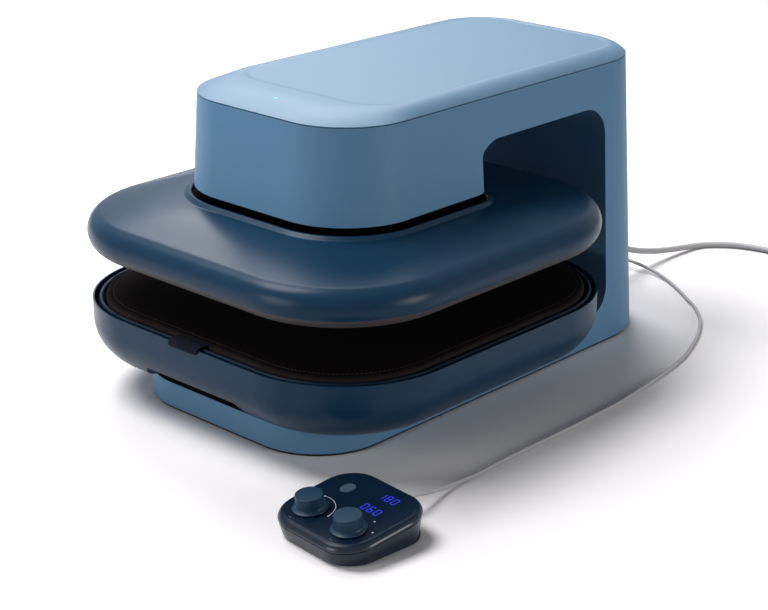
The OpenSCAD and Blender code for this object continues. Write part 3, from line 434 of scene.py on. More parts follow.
# Painted shadow: a near-black band just proud of the foot's upper edge, under the tray's overhang.
strip_levels = ((-1, 26.8), (0.3, 26.9), (0.5, 27.4), (0.5, foot_z), (-1, foot_z))
strip_arc, strip_steps = 70, 18
strip = []
for out, z in strip_levels:
    r = foot_r + out + (foot_z - z) * math.tan(draft)
    strip += [(side * foot_x + r * math.cos(a), foot_y + r * math.sin(a), z)
              for side, start in ((-1, 200), (1, 270))
              for a in np.radians(np.linspace(start, start + strip_arc, strip_steps))]
n, m = 2 * strip_steps, len(strip_levels)
faces = [(j * n + k, j * n + k + 1, (j + 1) % m * n + k + 1, (j + 1) % m * n + k)
         for j in range(m) for k in range(n - 1)]
faces += [[j * n for j in range(m)], [j * n + n - 1 for j in reversed(range(m))]]
painted_shadow_mesh = mesh_of("painted_shadow_strip", strip, faces)
add_piece("painted_shadow_strip", painted_shadow_mesh, dark_and_painted_shade, crease=50)
liner_low = round(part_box("tray_liner")[0][2], 4)
print("tray", len(tray.data.polygons), "faces, room over the hat up to", liner_low, "m")

# %% [markdown]
# The body is one moulding, and no mould has knife edges: the rim of the opening is rounded, tightly under the
# arm and generously on the column. A bevel does this, if each edge says how wide it wants to be. Flat
# triangles are first joined to whole faces, because a bevel slides along the edges beside it.

# %% Body with rounded edges
seam_round, head_round, front_round, arm_round, column_round = 0.7, 1.0, 2.0, 3.0, 9.0
widest, near, least_fold, full_fold = 10.0, 1.5, 20, 70
sole_z, head_z, rim_z = 6.0, 202.0, 288.0
front_y, arch_y, column_y0, column_y1, back_y = -40, -30, 128, 156, 200


def smooth(value):
    """Smooth step from 0 to 1, of a number or an array."""
    u = np.clip(value, 0, 1)
    return u * u * (3 - 2 * u)


def edge_round(x, y, z, fold):
    """Rounding in millimetres of the body's edge at a place, for a fold of this many degrees."""
    outer = abs(x) > arm_x + body_r(z) - near or y < front_y or y > back_y
    if fold < least_fold or not outer:
        return 0.0
    if z > rim_z or z < sole_z:
        return seam_round
    if abs(z - head_z) < near:
        return head_round
    along = smooth((y - column_y0) / (column_y1 - column_y0))
    wide = arm_round + (column_round - arm_round) * along if y > arch_y else front_round
    return wide * min(1.0, fold / full_fold)


body = skin_of("body_shell", body_blue)
bm = bmesh.new()
bm.from_mesh(body.data)
bmesh.ops.dissolve_limit(bm, angle_limit=math.radians(0.3), verts=bm.verts, edges=bm.edges)
weight = bm.edges.layers.float.new("bevel_weight_edge")
for edge in bm.edges:
    if len(edge.link_faces) == 2 and edge.is_convex:
        place = (edge.verts[0].co + edge.verts[1].co) / 2 / MM
        edge[weight] = edge_round(*place, math.degrees(edge.calc_face_angle())) / widest
rounded = sum(edge[weight] > 0 for edge in bm.edges)
bm.to_mesh(body.data)
bm.free()
soften = body.modifiers.new("rounded_edges", "BEVEL")
soften.limit_method, soften.width, soften.segments = "WEIGHT", widest * MM, 4
soften.use_clamp_overlap, soften.harden_normals = True, False
body.modifiers.move(len(body.modifiers) - 1, 0)
print(rounded, "edges rounded")

# %% [markdown]
# Lid, cover, mat and pod are rounded rectangles whose edge has a profile, like turned work led round four
# corners. One helper lays rings of points round the four corner centres, each at its own distance and height.
# Within the corner centres the rings turn into rectangles that shrink to a line, and there the shape closes.

# %% Looped shapes
def ring(hx, y0, y1, out, z, arc, side, tight=0.0):
    """Points round a rectangle of corner centres, at a distance out from them. Back corners may be tighter.

    A corner has arc steps, and a side has that many points between its corners.
    """
    inset, r = min(out, 0.0), max(out, 0.0)
    u = np.linspace(0, 1, side + 2)[1:-1, None]
    corners = []
    for sx, sy, start in ((1, 1, 0), (-1, 1, 90), (-1, -1, 180), (1, -1, 270)):
        a = np.radians(start + np.linspace(0, 90, arc + 1))
        t = tight if sy > 0 else 0.0
        x = sx * (hx + inset + t)
        y = y1 + inset + t if sy > 0 else y0 - inset
        corners.append(np.c_[x + (r - t) * np.cos(a), y + (r - t) * np.sin(a), np.full(arc + 1, z)])
    row = []
    for this, following in zip(corners, corners[1:] + corners[:1]):
        row += [this, this[-1] * (1 - u) + following[0] * u]
    return np.concatenate(row)


def stacked(rows, closed=False):
    """Points and faces of rings laid over each other, the last joined to the first if closed."""
    n, count = len(rows[0]), len(rows)
    k = np.arange(n)
    after = (k + 1) % n
    faces = []
    for j in range(count if closed else count - 1):
        here, over = j * n, (j + 1) % count * n
        faces.append(np.c_[here + k, here + after, over + after, over + k])
    return np.concatenate(rows), np.concatenate(faces)


def looped(hx, y0, y1, levels, arc, side):
    """Points and faces of a closed shape. A level is (distance out, height)."""
    return stacked([ring(hx, y0, y1, out, z, arc, side) for out, z in levels])


def box_distance(x, y, hx, y0, y1, r):
    """Distance outside a rounded rectangle, negative inside."""
    dx = np.abs(x) - hx
    dy = np.abs(y - (y0 + y1) / 2) - (y1 - y0) / 2
    return np.hypot(np.maximum(dx, 0), np.maximum(dy, 0)) + np.minimum(np.maximum(dx, dy), 0) - r


arm_ring = ring(arm_x, arm_y0, arm_y1, arm_r, seam_z, 16, 110)
print("the arm is", *np.ptp(arm_ring, axis=0)[:2], "mm wide and deep at the seam")

# %% [markdown]
# The lid lies on the arm with a thin open line round it. It falls towards its edge as a flat arc, over two
# centimetres at the sides and over more than twice that at the front, and meets the line at a slant. Its
# middle is a shallow panel with a soft step. Both are heights over the plan, so they are worked out for
# finished rings from their distance to an outline, and the panel's edge stays as soft as it should be.

# %% Lid
lid_under, lid_line, lid_low, lid_rise = 291.7, 292.3, 292.9, 8.5
side_run, front_run, front_from, front_over = 21.6, 45.6, -105.0, 60.0
panel, panel_deep, panel_step = (57.5, -101.6, 182.0, 40.4), 1.1, 7.0
lid_levels = [(-arm_x, lid_under), (0, lid_under), (68.4, lid_under), (68.4, lid_line), (69.55, lid_line),
              (69.9, 292.5)]
insets = np.r_[0, 0.2, 0.6, np.arange(1.2, 50, 1.6), np.linspace(51, arm_r + arm_x, 30)]
lid_levels += [(arm_r - d, lid_low) for d in insets]
lid_points, lid_faces = looped(arm_x, arm_y0, arm_y1, lid_levels, 16, 110)
x, y, z = lid_points.T
inward = -box_distance(x, y, arm_x, arm_y0, arm_y1, arm_r)
run = side_run + (front_run - side_run) * smooth((front_from - y) / front_over)
curve = (run**2 + lid_rise**2) / (2 * lid_rise)
fall = curve - np.sqrt(curve**2 - np.clip(run - inward, 0, run) ** 2)
sunk = smooth((panel_step / 2 - box_distance(x, y, *panel)) / panel_step)
top = z > lid_low - 0.1
lid_points[:, 2] = np.where(top, lid_low + lid_rise - fall - panel_deep * sunk, z)
lid_mesh = mesh_of("lid_skin", lid_points, lid_faces)
lid = add_piece("lid_skin", lid_mesh, lid_blue_painted_sheen, ("top_cover",))
print("lid", len(lid.data.polygons), "faces")

# %% [markdown]
# The cover of the upper plate is a shallow shell: a round edge all round, a top that rises in one sweep, and
# a small ledge just outside the head, which catches the light. Edge and head have different plans, so the
# rings between them go from one plan to the other, and each point climbs on a smooth curve of its own length.
# Inside the ledge stands a black collar, which hides the lift. Its near-black, matt finish is partly the
# collar's own dark plastic and partly painted shade, which keeps the slot under the head dark.

# %% Upper plate's cover
plate_x, plate_y0, plate_y1 = 90.0, -180.0, 11.0
head_y1, head_tight = -85.885, 50.0
cover_in, cover_low, cover_under = 96.0, 153.0, 177.0
edge_at, edge_z, edge_r, edge_tilt = 98.0, 161.0, 19.0, math.radians(12.8)
ledge_out, ledge_wide, ledge_z, ledge_h, ledge_lip, ledge_slope = 80.0, 6.0, 196.0, 3.6, 2.0, 0.05
hole_out, hole_z = 60.0, 190.0


def plate_ring(out, z):
    """A ring in the plan of the upper plate."""
    return ring(plate_x, plate_y0, plate_y1, out, z, 24, 40)


def head_ring(out, z):
    """A ring in the plan of the head, whose back corners are tighter."""
    return ring(arm_x, arm_y0, head_y1, out, z, 24, 40, head_tight)


edge_turns = np.linspace(-math.asin((edge_z - cover_low) / edge_r), math.pi / 2 - edge_tilt, 26)
rows = [plate_ring(cover_in, cover_low)]
rows += [plate_ring(edge_at + edge_r * math.cos(a), edge_z + edge_r * math.sin(a)) for a in edge_turns]
first, last = rows[-1], head_ring(ledge_out + ledge_wide, ledge_z - ledge_h)
span = np.linalg.norm((last - first)[:, :2], axis=1)
for u in np.linspace(0, 1, 41)[1:]:
    row = first * (1 - u) + last * u
    leave, arrive = (u - 1) ** 2 * u * math.tan(edge_tilt), (u - 1) * u * u * ledge_slope
    row[:, 2] = first[:, 2] + smooth(u) * (last - first)[:, 2] + (leave + arrive) * span
    rows.append(row)
rows += [head_ring(ledge_out + ledge_wide * (1 - u), ledge_z - ledge_h * (1 - smooth(u)))
         for u in np.linspace(0, 1, 12)[1:]]
rows += [head_ring(ledge_out - ledge_lip * math.sin(a), ledge_z - ledge_lip * (1 - math.cos(a)))
         for a in np.radians((25, 50, 75, 90))]
rows += [head_ring(ledge_out - ledge_lip, hole_z), head_ring(hole_out, hole_z),
         head_ring(hole_out, cover_under), plate_ring(cover_in, cover_under)]
cover_mesh = mesh_of("cover_skin", *stacked(rows, True))
cover = add_piece("cover_skin", cover_mesh, navy, ("platen_cover",), crease=40)
collar_low, collar_top = 190.2, 253.5
collar_levels = ((77.6, collar_low), (77.6, 192), (67, 192.5), (65.5, 194), (65.5, collar_top),
                 (63, collar_top), (63, collar_low))
collar_mesh = mesh_of("collar_skin", *stacked([head_ring(out, z) for out, z in collar_levels], True))
collar = add_piece("collar_skin", collar_mesh, dark_and_painted_shade, ("collar",))
print("cover", len(cover.data.polygons), "faces, collar", len(collar.data.polygons))

# %% [markdown]
# A small green lamp in the lid shows that the press is on. It is a clear dome of plastic over a
# light-emitting chip, so it glows softly from within and is brightest in its middle.

# %% Status light
def dome(x, y, z, r, h, rings=6, around=24):
    """Points and faces of a shallow dome, whose side goes down into what it sits in."""
    sunk = 2.0
    levels = [(r, z - sunk)]
    levels += [(r * math.cos(a), z + h * math.sin(a)) for a in np.radians(np.linspace(0, 88, rings))]
    a = np.radians(np.arange(around) * 360 / around)
    rows = [np.c_[x + out * np.cos(a), y + out * np.sin(a), np.full(around, up)] for out, up in levels]
    points, faces = stacked(rows)
    k = np.arange(around)
    return points, [*faces, k[::-1], rings * around + k]


def glowing(colour, low, high, centre, reach):
    """A lens that is brightest in its middle."""
    def paint(place):
        off = place.node("VectorMath", {"operation": "DISTANCE"}, {0: place, 1: centre}, "Value")
        core = place.node("MapRange", {"interpolation_type": "SMOOTHSTEP"},
                          {"Value": off, "From Min": 0.0, "From Max": reach, "To Min": high, "To Max": low})
        return {"Base Color": place.noise(4).blend(shaded(colour, 0.5), shaded(colour, 0.7)),
                "Emission Color": core.blend((0, 0, 0, 1), colour)}
    return paint


light_at, light_r, light_h = (1.0, -175.0, 300.1), 2.0, 0.5
glow = glowing(srgb(70, 225, 200), 0.5, 1.0, tuple(c * MM for c in light_at), 1.5 * light_r * MM)
lens_green = finish("light_lens", glow, Roughness=0.2, Emission_Strength=0.9)
light_mesh = mesh_of("light_dome", *dome(*light_at, light_r, light_h))
light = add_piece("light_dome", light_mesh, lens_green, ("status_light",), crease=60)
print("light", len(light.data.polygons), "faces")

# %% [markdown]
# The mat is a thick pad of dark felt: a crowned top, a rolled edge and a seam sewn round it a finger's width
# in. It lies on foam, so it is flat below. The form comes from the same rings as the lid, with the seam's
# groove in their heights, and with slow waves where the cloth is fuller near the front. Felt is a mass of
# fibres, so its finish is two noises, a fine nap and slow clouds, with next to no gloss. Its side is painted
# paler, as painted light that the rolled edge catches.

# %% Felt mat
mat_x, mat_y0, mat_y1, mat_r = 90.0, -180.0, 11.0, 102.5
mat_low, mat_top, mat_round = 85.0, 97.0, 5.0
seam_in, groove_wide, groove_deep = 7.0, 1.7, 0.75
crown, crown_in, crown_over = 0.35, 9.0, 60.0
wave_high, wave_long, wave_in, wave_wide, wave_from, wave_over = 0.3, 41.0, 3.0, 3.5, -120.0, 90.0


def felt(colour, edge):
    """A nap of fibres, paler on the mat's side as painted light that the rolled edge catches."""
    def paint(place):
        nap, cloud = place.noise(0.7, 4.0, 0.7), place.noise(35, 3.0)
        rise = place.node("SeparateXYZ", {}, {"Vector": place}, "Z")
        side = place.node("MapRange", {}, {"Value": rise, "From Min": (mat_top - 0.5) * MM,
                                           "From Max": (mat_top - 4.5) * MM})
        # Painted light: the mat's rolled side is blended towards the paler colour edge, as light that it
        # catches.
        painted_side_light = side * (0.4 + 0.6 * cloud)
        tone = cloud.blend(shaded(colour, 0.75), shaded(colour, 1.25))
        return {"Base Color": painted_side_light.blend(tone, edge), "Roughness": 0.86 + 0.12 * (nap - 0.5),
                "Normal": (nap + 0.5 * place.noise(2.6)).bump(0.35, 0.8)}
    return paint


# The second colour is painted light on the mat's rolled side.
felt_dark = finish("felt_mat", felt(srgb(20, 16, 18), srgb(62, 54, 53)), Specular_IOR_Level=0.03)
mat_levels = [(-mat_x, mat_low), (40, mat_low), (mat_r - 1.2, mat_low), (mat_r - 0.3, mat_low + 1.2),
              (mat_r, mat_low + 4)]
mat_levels += [(mat_r - mat_round * (1 - math.cos(a)), mat_top - mat_round * (1 - math.sin(a)))
               for a in np.radians(np.linspace(-8, 90, 12))]
seam_steps, top_steps = np.arange(mat_r - 5.6, mat_r - 12, -0.6), np.linspace(89, -mat_x, 60)
mat_levels += [(out, mat_top) for out in (*seam_steps, *top_steps)]
mat_points, mat_faces = looped(mat_x, mat_y0, mat_y1, mat_levels, 24, 90)
x, y, z = mat_points.T
inward = -box_distance(x, y, mat_x, mat_y0, mat_y1, mat_r)
upper = smooth((z - mat_low - mat_round) / mat_round)
groove = np.exp(-((inward - seam_in) / groove_wide) ** 2)
waves = np.sin((x - 0.6 * y) * 2 * math.pi / wave_long)
fuller = np.exp(-((inward - wave_in) / wave_wide) ** 2) * smooth((wave_from - y) / wave_over)
rise = crown * smooth((inward - crown_in) / crown_over)
mat_points[:, 2] += upper * (rise - groove_deep * groove + wave_high * waves * fuller)
mat_mesh = mesh_of("felt_mat", mat_points, mat_faces)
mat = add_piece("felt_mat", mat_mesh, felt_dark, ("pressing_mat",), crease=80)
print("mat", len(mat.data.polygons), "faces")

# %% [markdown]
# The seam itself is a row of stitches, one like the other, along a line: work for Geometry Nodes. A tree
# takes the line, puts points on it at the stitch length, sets a small drop of thread on each along the line's
# run, and turns the copies into real faces at the end.

# %% Seam stitches
def stitch_row(name, line, material, spacing, size):
    """Stitches along a closed line, as one mesh, with lengths in millimetres."""
    data = curve_of(name + "_line", line)
    data.splines[0].use_cyclic_u = True
    carrier = bpy.data.objects.new(name + "_line", data)
    scene.collection.objects.link(carrier)
    tree = bpy.data.node_groups.new(name + "_tree", "GeometryNodeTree")
    face = tree.interface
    face.new_socket("Geometry", in_out="INPUT", socket_type="NodeSocketGeometry")
    sockets = {}
    for key, kind in (("Spacing", "Float"), ("Stitch Size", "Vector"), ("Thread", "Material")):
        sockets[key] = face.new_socket(key, in_out="INPUT", socket_type="NodeSocket" + kind).identifier
    face.new_socket("Geometry", in_out="OUTPUT", socket_type="NodeSocketGeometry")

    def node(kind, links, **settings):
        made = tree.nodes.new(kind)
        for key, value in settings.items():
            setattr(made, key, value)
        for key, value in links.items():
            if hasattr(value, "is_output"):
                tree.links.new(value, made.inputs[key])
            else:
                made.inputs[key].default_value = value
        return made

    given = tree.nodes.new("NodeGroupInput").outputs
    dots = node("GeometryNodeResampleCurve", {"Curve": given["Geometry"], "Length": given["Spacing"]},
                mode="LENGTH")
    run = node("GeometryNodeInputTangent", {})
    aim = node("FunctionNodeAlignRotationToVector", {"Vector": run.outputs[0]}, axis="X")
    drop = node("GeometryNodeMeshUVSphere", {"Segments": 8, "Rings": 5, "Radius": 0.5})
    copies = node("GeometryNodeInstanceOnPoints", {
        "Points": dots.outputs[0], "Instance": drop.outputs[0], "Rotation": aim.outputs[0],
        "Scale": given["Stitch Size"]})
    real = node("GeometryNodeRealizeInstances", {"Geometry": copies.outputs[0]})
    dyed = node("GeometryNodeSetMaterial", {"Geometry": real.outputs[0], "Material": given["Thread"]})
    node("NodeGroupOutput", {"Geometry": dyed.outputs[0]})
    row = carrier.modifiers.new("stitches", "NODES")
    row.node_group = tree
    row[sockets["Spacing"]] = spacing * MM
    row[sockets["Stitch Size"]] = [s * MM for s in size]
    row[sockets["Thread"]] = material
    mesh = bpy.data.meshes.new_from_object(carrier.evaluated_get(bpy.context.evaluated_depsgraph_get()))
    mesh.name = name
    bpy.data.objects.remove(carrier)
    return add_piece(name, mesh, material, crease=180)


stitch_long, stitch_size, thread_sunk = 4.2, (3.0, 0.9, 0.8), 0.5
thread_brown = finish("seam_thread", felt(srgb(66, 58, 57), srgb(66, 58, 57)), Specular_IOR_Level=0.1)
seam_line = ring(mat_x, mat_y0, mat_y1, mat_r - seam_in, mat_top - thread_sunk, 24, 60)
seam = stitch_row("mat_seam", seam_line, thread_brown, stitch_long, stitch_size)
print("seam", len(seam.data.polygons), "faces")

# %% [markdown]
# A short tab of dark cloth is sewn under the mat's edge at the front and hangs over the tray's lip, to pull
# the mat out by. It is a flat strip that bends under its own stiffness, so its side view is one smooth line,
# given a thickness. Its weave is two crossed waves, so fine that only the sheen shows it.

# %% Pull tab
def woven(colour, pitch):
    """Plain weave, whose threads lie pitch millimetres apart."""
    per_metre = 2 * math.pi / (pitch * MM)

    def paint(place):
        x, y, z = (place.node("SeparateXYZ", {}, {"Vector": place}, axis) for axis in "XYZ")
        warp = place.node("Math", {"operation": "SINE"}, {0: x * per_metre})
        weft = place.node("Math", {"operation": "SINE"}, {0: (y - z) * per_metre})
        thread = 0.5 + 0.5 * warp * weft
        cloud = place.noise(14, 3.0)
        return {"Base Color": (0.6 * cloud + 0.4 * thread).blend(shaded(colour, 0.7), shaded(colour, 1.3)),
                "Roughness": 0.7 + 0.15 * (cloud - 0.5), "Normal": thread.bump(0.12)}
    return paint


tab_navy = finish("tab_cloth", woven(srgb(12, 18, 33), 0.9), Specular_IOR_Level=0.08)
tab_wide, tab_thick, tab_corner = 38.0, 0.9, 2.5
tab_line = smooth_line([(0, -276, 94.2), (0, -280, 94.5), (0, -285, 95.1), (0, -290, 95.3), (0, -294, 94.9),
                        (0, -296.3, 93.4), (0, -297.0, 91.2), (0, -297.0, 89.6), (0, -296.9, 89.2)], 6)
run = np.gradient(tab_line, axis=0)
normal = np.c_[np.zeros(len(run)), -run[:, 2], run[:, 1]] / np.linalg.norm(run, axis=1)[:, None]
steps = np.linalg.norm(np.diff(tab_line, axis=0), axis=1)
tab_long = steps.sum()
left = tab_long - np.r_[0, np.cumsum(steps)]
rest = np.maximum(tab_corner - left, 0)
half = tab_wide / 2 - tab_corner + np.sqrt(np.maximum(tab_corner**2 - rest**2, 0))
across = np.linspace(-1, 1, 25)
n, m = len(tab_line), len(across)
tab_points = []
for off in (tab_thick / 2, -tab_thick / 2):
    for k in range(n):
        tab_points.append(tab_line[k] + off * normal[k] + np.c_[across * half[k], np.zeros((m, 2))])
tab_faces = []
for k in range(n - 1):
    for j in range(m - 1):
        quad = [k * m + j, k * m + j + 1, (k + 1) * m + j + 1, (k + 1) * m + j]
        tab_faces += [quad, [n * m + i for i in quad[::-1]]]
rim = [*range(m), *(k * m + m - 1 for k in range(1, n))]
rim += [*((n - 1) * m + j for j in range(m - 2, -1, -1)), *(k * m for k in range(n - 2, 0, -1))]
tab_faces += [[a, b, n * m + b, n * m + a] for a, b in zip(rim, rim[1:] + rim[:1])]
tab_mesh = mesh_of("pull_tab", np.concatenate(tab_points), tab_faces)
tab = add_piece("pull_tab", tab_mesh, tab_navy, ("mat_tab",), crease=60)
print("tab", round(tab_long, 1), "mm long")

# %% [markdown]
# The pod is a small wedge of dark plastic in two halves. The upper one slopes to the front and runs over a
# wide round into a fine parting line, and below it the sides lean in towards the bench. The rings of the lid
# serve here too, with the top's slope added to the heights. The dials are turned: a nearly straight grip on a
# thin skirt. The oval button behind them is a shallow dome of the same kind. Hands polish the case where it
# is held, so below the top its plastic gets a thin coat of gloss.

# %% Pod case, dials and button
pod_x, pod_y, pod_out, pod_round, pod_low = 23.5, 19.5, 30.0, 6.0, 1.5
skirt_out, skirt_high, skirt_lean = 26.6, 1.4, 2.7
dial_x, dial_y, button_y = 24.5, -22.0, 19.0


def pod_ring(out, up, hang):
    """A ring of the pod. Up is its height over the bench, or over the sloping top by the share hang."""
    row = ring(pod_x, -pod_y, pod_y, out, 0, 16, 16)
    row[:, 2] = up + hang * (pod_h + math.tan(pod_tilt) * row[:, 1])
    return row


def handled(colour, rough, gloss):
    """Moulded plastic that is polished from the pod's edge downwards."""
    plain = moulded(colour, rough)
    top, over = on_pod_top([(0, 0, 0), (0, 0, 1)])
    up = over - top
    level = float(up @ top)
    starts, full = 0.3, 2.2

    def paint(place):
        height = place.node("VectorMath", {"operation": "DOT_PRODUCT"}, {0: place, 1: tuple(up)}, "Value")
        coat = place.node("MapRange", {"interpolation_type": "SMOOTHSTEP"}, {
            "Value": height, "From Min": (level - starts) * MM, "From Max": (level - full) * MM,
            "To Max": gloss})
        return {**plain(place), "Coat Weight": coat}
    return paint


pod_blue = srgb(9, 30, 51)
pod_navy = finish("pod_plastic", handled(pod_blue, 0.3, 0.55), Specular_IOR_Level=0.12, Coat_Roughness=0.22)
skirt_z = pod_low + skirt_high
skirt_levels = ((-pod_y, pod_low), (0, pod_low), (25.4, pod_low), (26.1, pod_low + 0.4), (skirt_out, skirt_z))
parting_levels = ((29.0, -6.75), (28.7, -6.5), (28.7, -6.2), (29.2, -5.9), (29.75, -5.5))
rows = [pod_ring(out, up, 0) for out, up in skirt_levels]
rows += [pod_ring(skirt_out + skirt_lean * t**0.8, skirt_z * (1 - t) - (pod_round + 0.9) * t, t)
         for t in (0.25, 0.5, 0.75, 1)]
rows += [pod_ring(out, up, 1) for out, up in parting_levels]
rows += [pod_ring(pod_out - pod_round * (1 - math.cos(a)), -pod_round * (1 - math.sin(a)), 1)
         for a in np.radians(np.linspace(12, 90, 12))]
rows += [pod_ring(out, 0, 1) for out in np.linspace(pod_out - pod_round, -pod_y, 10)[1:]]
points, faces = stacked(rows)
case_mesh = mesh_of("pod_skin", on_pod(points), faces)
case = add_piece("pod_skin", case_mesh, pod_navy, ("pod_case",), crease=50)

dial_levels = [(0, 0.8), (14.8, 0.8), (15.3, 1.0), (15.5, 1.35), (15.3, 1.75), (14.8, 1.95), (14.0, 2.15),
               (13.2, 2.6), (12.6, 3.4), (12.4, 4.6), (12.0, 13.2), (11.8, 13.7), (11.3, 14.0), (0, 14.0)]
points, faces = looped(0, 0, 0, dial_levels, 16, 0)
for node, x in (("left_knob", -dial_x), ("right_knob", dial_x)):
    mesh = mesh_of(node + "_skin", on_pod_top(points + (x, dial_y, 0)), faces)
    add_piece(node + "_skin", mesh, knob_slate, (node,), crease=28)
button_levels = [(0, -2), (5.6, -2), (5.8, 0.4), (5.5, 0.8), (4.9, 1.0), (2, 1.1), (0, 1.1)]
points, faces = looped(0, -1.6, 1.6, button_levels, 12, 4)
button_grey = plastic("button_plastic", srgb(66, 86, 106), 0.5, 0.1)
button_mesh = mesh_of("button_skin", on_pod_top(points + (-dial_x, button_y, 0)), faces)
button = add_piece("button_skin", button_mesh, button_grey, ("pod_button",))
print("pod", len(case.data.polygons), "faces, button", len(button.data.polygons))

# %% [markdown]
# The pod's face also shows two rows of blue numbers, which glow through a dark window that can't be seen when
# they are off. Numbers on such a display are made of seven bars, so each is a short list of bars that are
# lit. Bars, dots and the arc round the left dial are thin plates on the sloping top, drawn in the pod's own
# frame.

# %% Pod print
def printed(name, outlines, material, low=-0.05, high=0.06):
    """Thin plates on the pod's top from outlines in its frame."""
    points, faces = [], []
    for outline in outlines:
        n, start = len(outline), len(points)
        points += [(x, y, z) for z in (low, high) for x, y in outline]
        under = [start + k for k in range(n)]
        over = [start + n + k for k in range(n)]
        faces += [under[::-1], over]
        faces += [[under[k - 1], under[k], over[k], over[k - 1]] for k in range(n)]
    return add_piece(name, mesh_of(name, on_pod_top(points), faces), material, crease=40)


def arc(x, y, r, turns):
    """Points on a circle at some turns in degrees."""
    return [(x + r * math.cos(a), y + r * math.sin(a)) for a in np.radians(list(turns))]


def bar(x0, y0, x1, y1, wide):
    """A bar with pointed ends."""
    along = np.array((x1 - x0, y1 - y0)) / math.hypot(x1 - x0, y1 - y0)
    aside = np.array((-along[1], along[0]))
    a, b, w = np.array((x0, y0)), np.array((x1, y1)), wide / 2
    lower = (a + w * (along - aside), b - w * (along + aside))
    upper = (b - w * (along - aside), a + w * (along + aside))
    return [tuple(p) for p in (a, *lower, b, *upper)]


def number(text, x, y, wide, tall, gap, stroke):
    """Outlines of the lit bars of a number, from its lower left corner."""
    lit = {"0": "abcdef", "1": "bc", "2": "abged", "3": "abgcd", "4": "fgbc", "5": "afgcd", "6": "afgedc",
           "7": "abc", "8": "abcdefg", "9": "abcdfg"}
    ends = {"a": (0, 2, 1, 2), "b": (1, 1, 1, 2), "c": (1, 0, 1, 1), "d": (0, 0, 1, 0), "e": (0, 0, 0, 1),
            "f": (0, 1, 0, 2), "g": (0, 1, 1, 1)}
    bars = []
    for k, sign in enumerate(text):
        left = x + k * (wide + gap)
        for segment in lit[sign]:
            a, b, c, d = ends[segment]
            bars.append(bar(left + a * wide, y + b * tall / 2, left + c * wide, y + d * tall / 2, stroke))
    return bars


def lit_blue(place):
    """Blue light through a window, a little uneven."""
    cloud = place.noise(3.0)
    return {"Base Color": cloud.blend(srgb(20, 30, 120), srgb(30, 40, 150)),
            "Emission Color": cloud.blend(srgb(30, 36, 205), srgb(46, 56, 230))}


display_blue = finish("display_blue", lit_blue, Roughness=0.4, Emission_Strength=0.9)
window_dark = plastic("window_plastic", pod_blue, 0.3, 0.12, pits=0.01)
dim_print = plastic("dim_print", srgb(92, 106, 122), 0.6, 0.2, pits=0.004)
pane_x, pane_y, pane_r, pane_at = 12, 9, 4, (20, 16.5, 0)
pane = [tuple(p[:2]) for p in ring(pane_x, -pane_y, pane_y, pane_r, 0, 6, 0) + pane_at]
window = printed("window_skin", [pane], window_dark, -0.3, 0.03)
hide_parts("display_window")
digit = dict(wide=4.2, tall=8, gap=3.4, stroke=0.9)
digits = number("180", 5, 26, **digit) + number("060", 6, 5.5, **digit)
printed("display_numbers", digits, display_blue, 0.0, 0.1)

arc_r, arc_wide, arc_ends, dot_r = 21.0, 0.5, (5, 105), 0.8
dial_arc = arc(-dial_x, dial_y, arc_r - arc_wide / 2, range(5, 106, 4))
dial_arc += arc(-dial_x, dial_y, arc_r + arc_wide / 2, range(105, 4, -4))
dots = [*arc(-dial_x, dial_y, arc_r, arc_ends), (32, -1), (43, -13)]
marks = [dial_arc, *(arc(x, y, dot_r, range(0, 360, 18)) for x, y in dots)]
printed("pod_marks", marks, white_print)
dash_half, dash_y, dash_wide = 2, -42, 0.7
dashes = [bar(x - dash_half, dash_y, x + dash_half, dash_y, dash_wide) for x in (-27, 25)]
printed("pod_dashes", dashes, dim_print)
print(len(digits), "bars lit,", len(marks) + len(dashes), "marks printed")

# %% [markdown]
# The part of the mains cord that is put away is held by a strap round one side of the coil: a band of webbing
# that touches the outermost cords and runs straight between them. For each direction round the bundle, the
# cord that lies furthest that way carries the band. A thin moulded ring frames the socket of the pod's cord.

# %% Coil tie and socket ring
tie_at = 0.75
bundle = np.array([coil_point(k + tie_at) - coil_at for k in range(coil_turns)])[:, [0, 2]]


def band(off, aside):
    """Points of the strap's outline, off from the cords' middles."""
    a = np.radians(np.arange(0, 360, 6))
    ways = np.c_[np.cos(a), np.sin(a)]
    outline = bundle[np.argmax(bundle @ ways.T, axis=0)] + off * ways
    return coil_at + np.c_[outline[:, 0], np.full(len(a), aside), outline[:, 1]]


webbing = finish("tie_webbing", woven(srgb(34, 36, 40), 1.3), Specular_IOR_Level=0.2)
band_levels = ((3.8, -5), (4.1, -5), (4.5, -4.6), (4.5, 4.6), (4.1, 5), (3.8, 5))
tie_mesh = mesh_of("coil_tie", *stacked([band(off, aside) for off, aside in band_levels], True))
tie = add_piece("coil_tie", tie_mesh, webbing, crease=40)
ring_levels = ((6.4, -1), (6.4, 0.9), (6.7, 1.2), (8.2, 1.2), (8.8, 0.8), (9.0, 0.2), (9.0, -1))
a = np.radians(np.arange(0, 360, 7.5))
rows = []
for r, out in ring_levels:
    up = r * np.sin(a)
    around = np.c_[r * np.cos(a), -up * math.sin(draft), up * math.cos(draft)]
    rows.append(on_back(socket_x, socket_z, out) + around)
ring_mesh = mesh_of("socket_ring", *stacked(rows, True))
add_piece("socket_ring", ring_mesh, black, crease=40)
print("strap", len(tie.data.polygons), "faces, socket ring", len(ring_mesh.polygons))

# %% [markdown]
# What lies inside the press is seen only when it is taken apart, and each kind of part still has its own
# finish: rolled and ground steel, brass, a coated plate, green boards, ceramic, felt and foam. Metal shows
# its working as fine lines, so its grain is a noise that is drawn out along one axis.

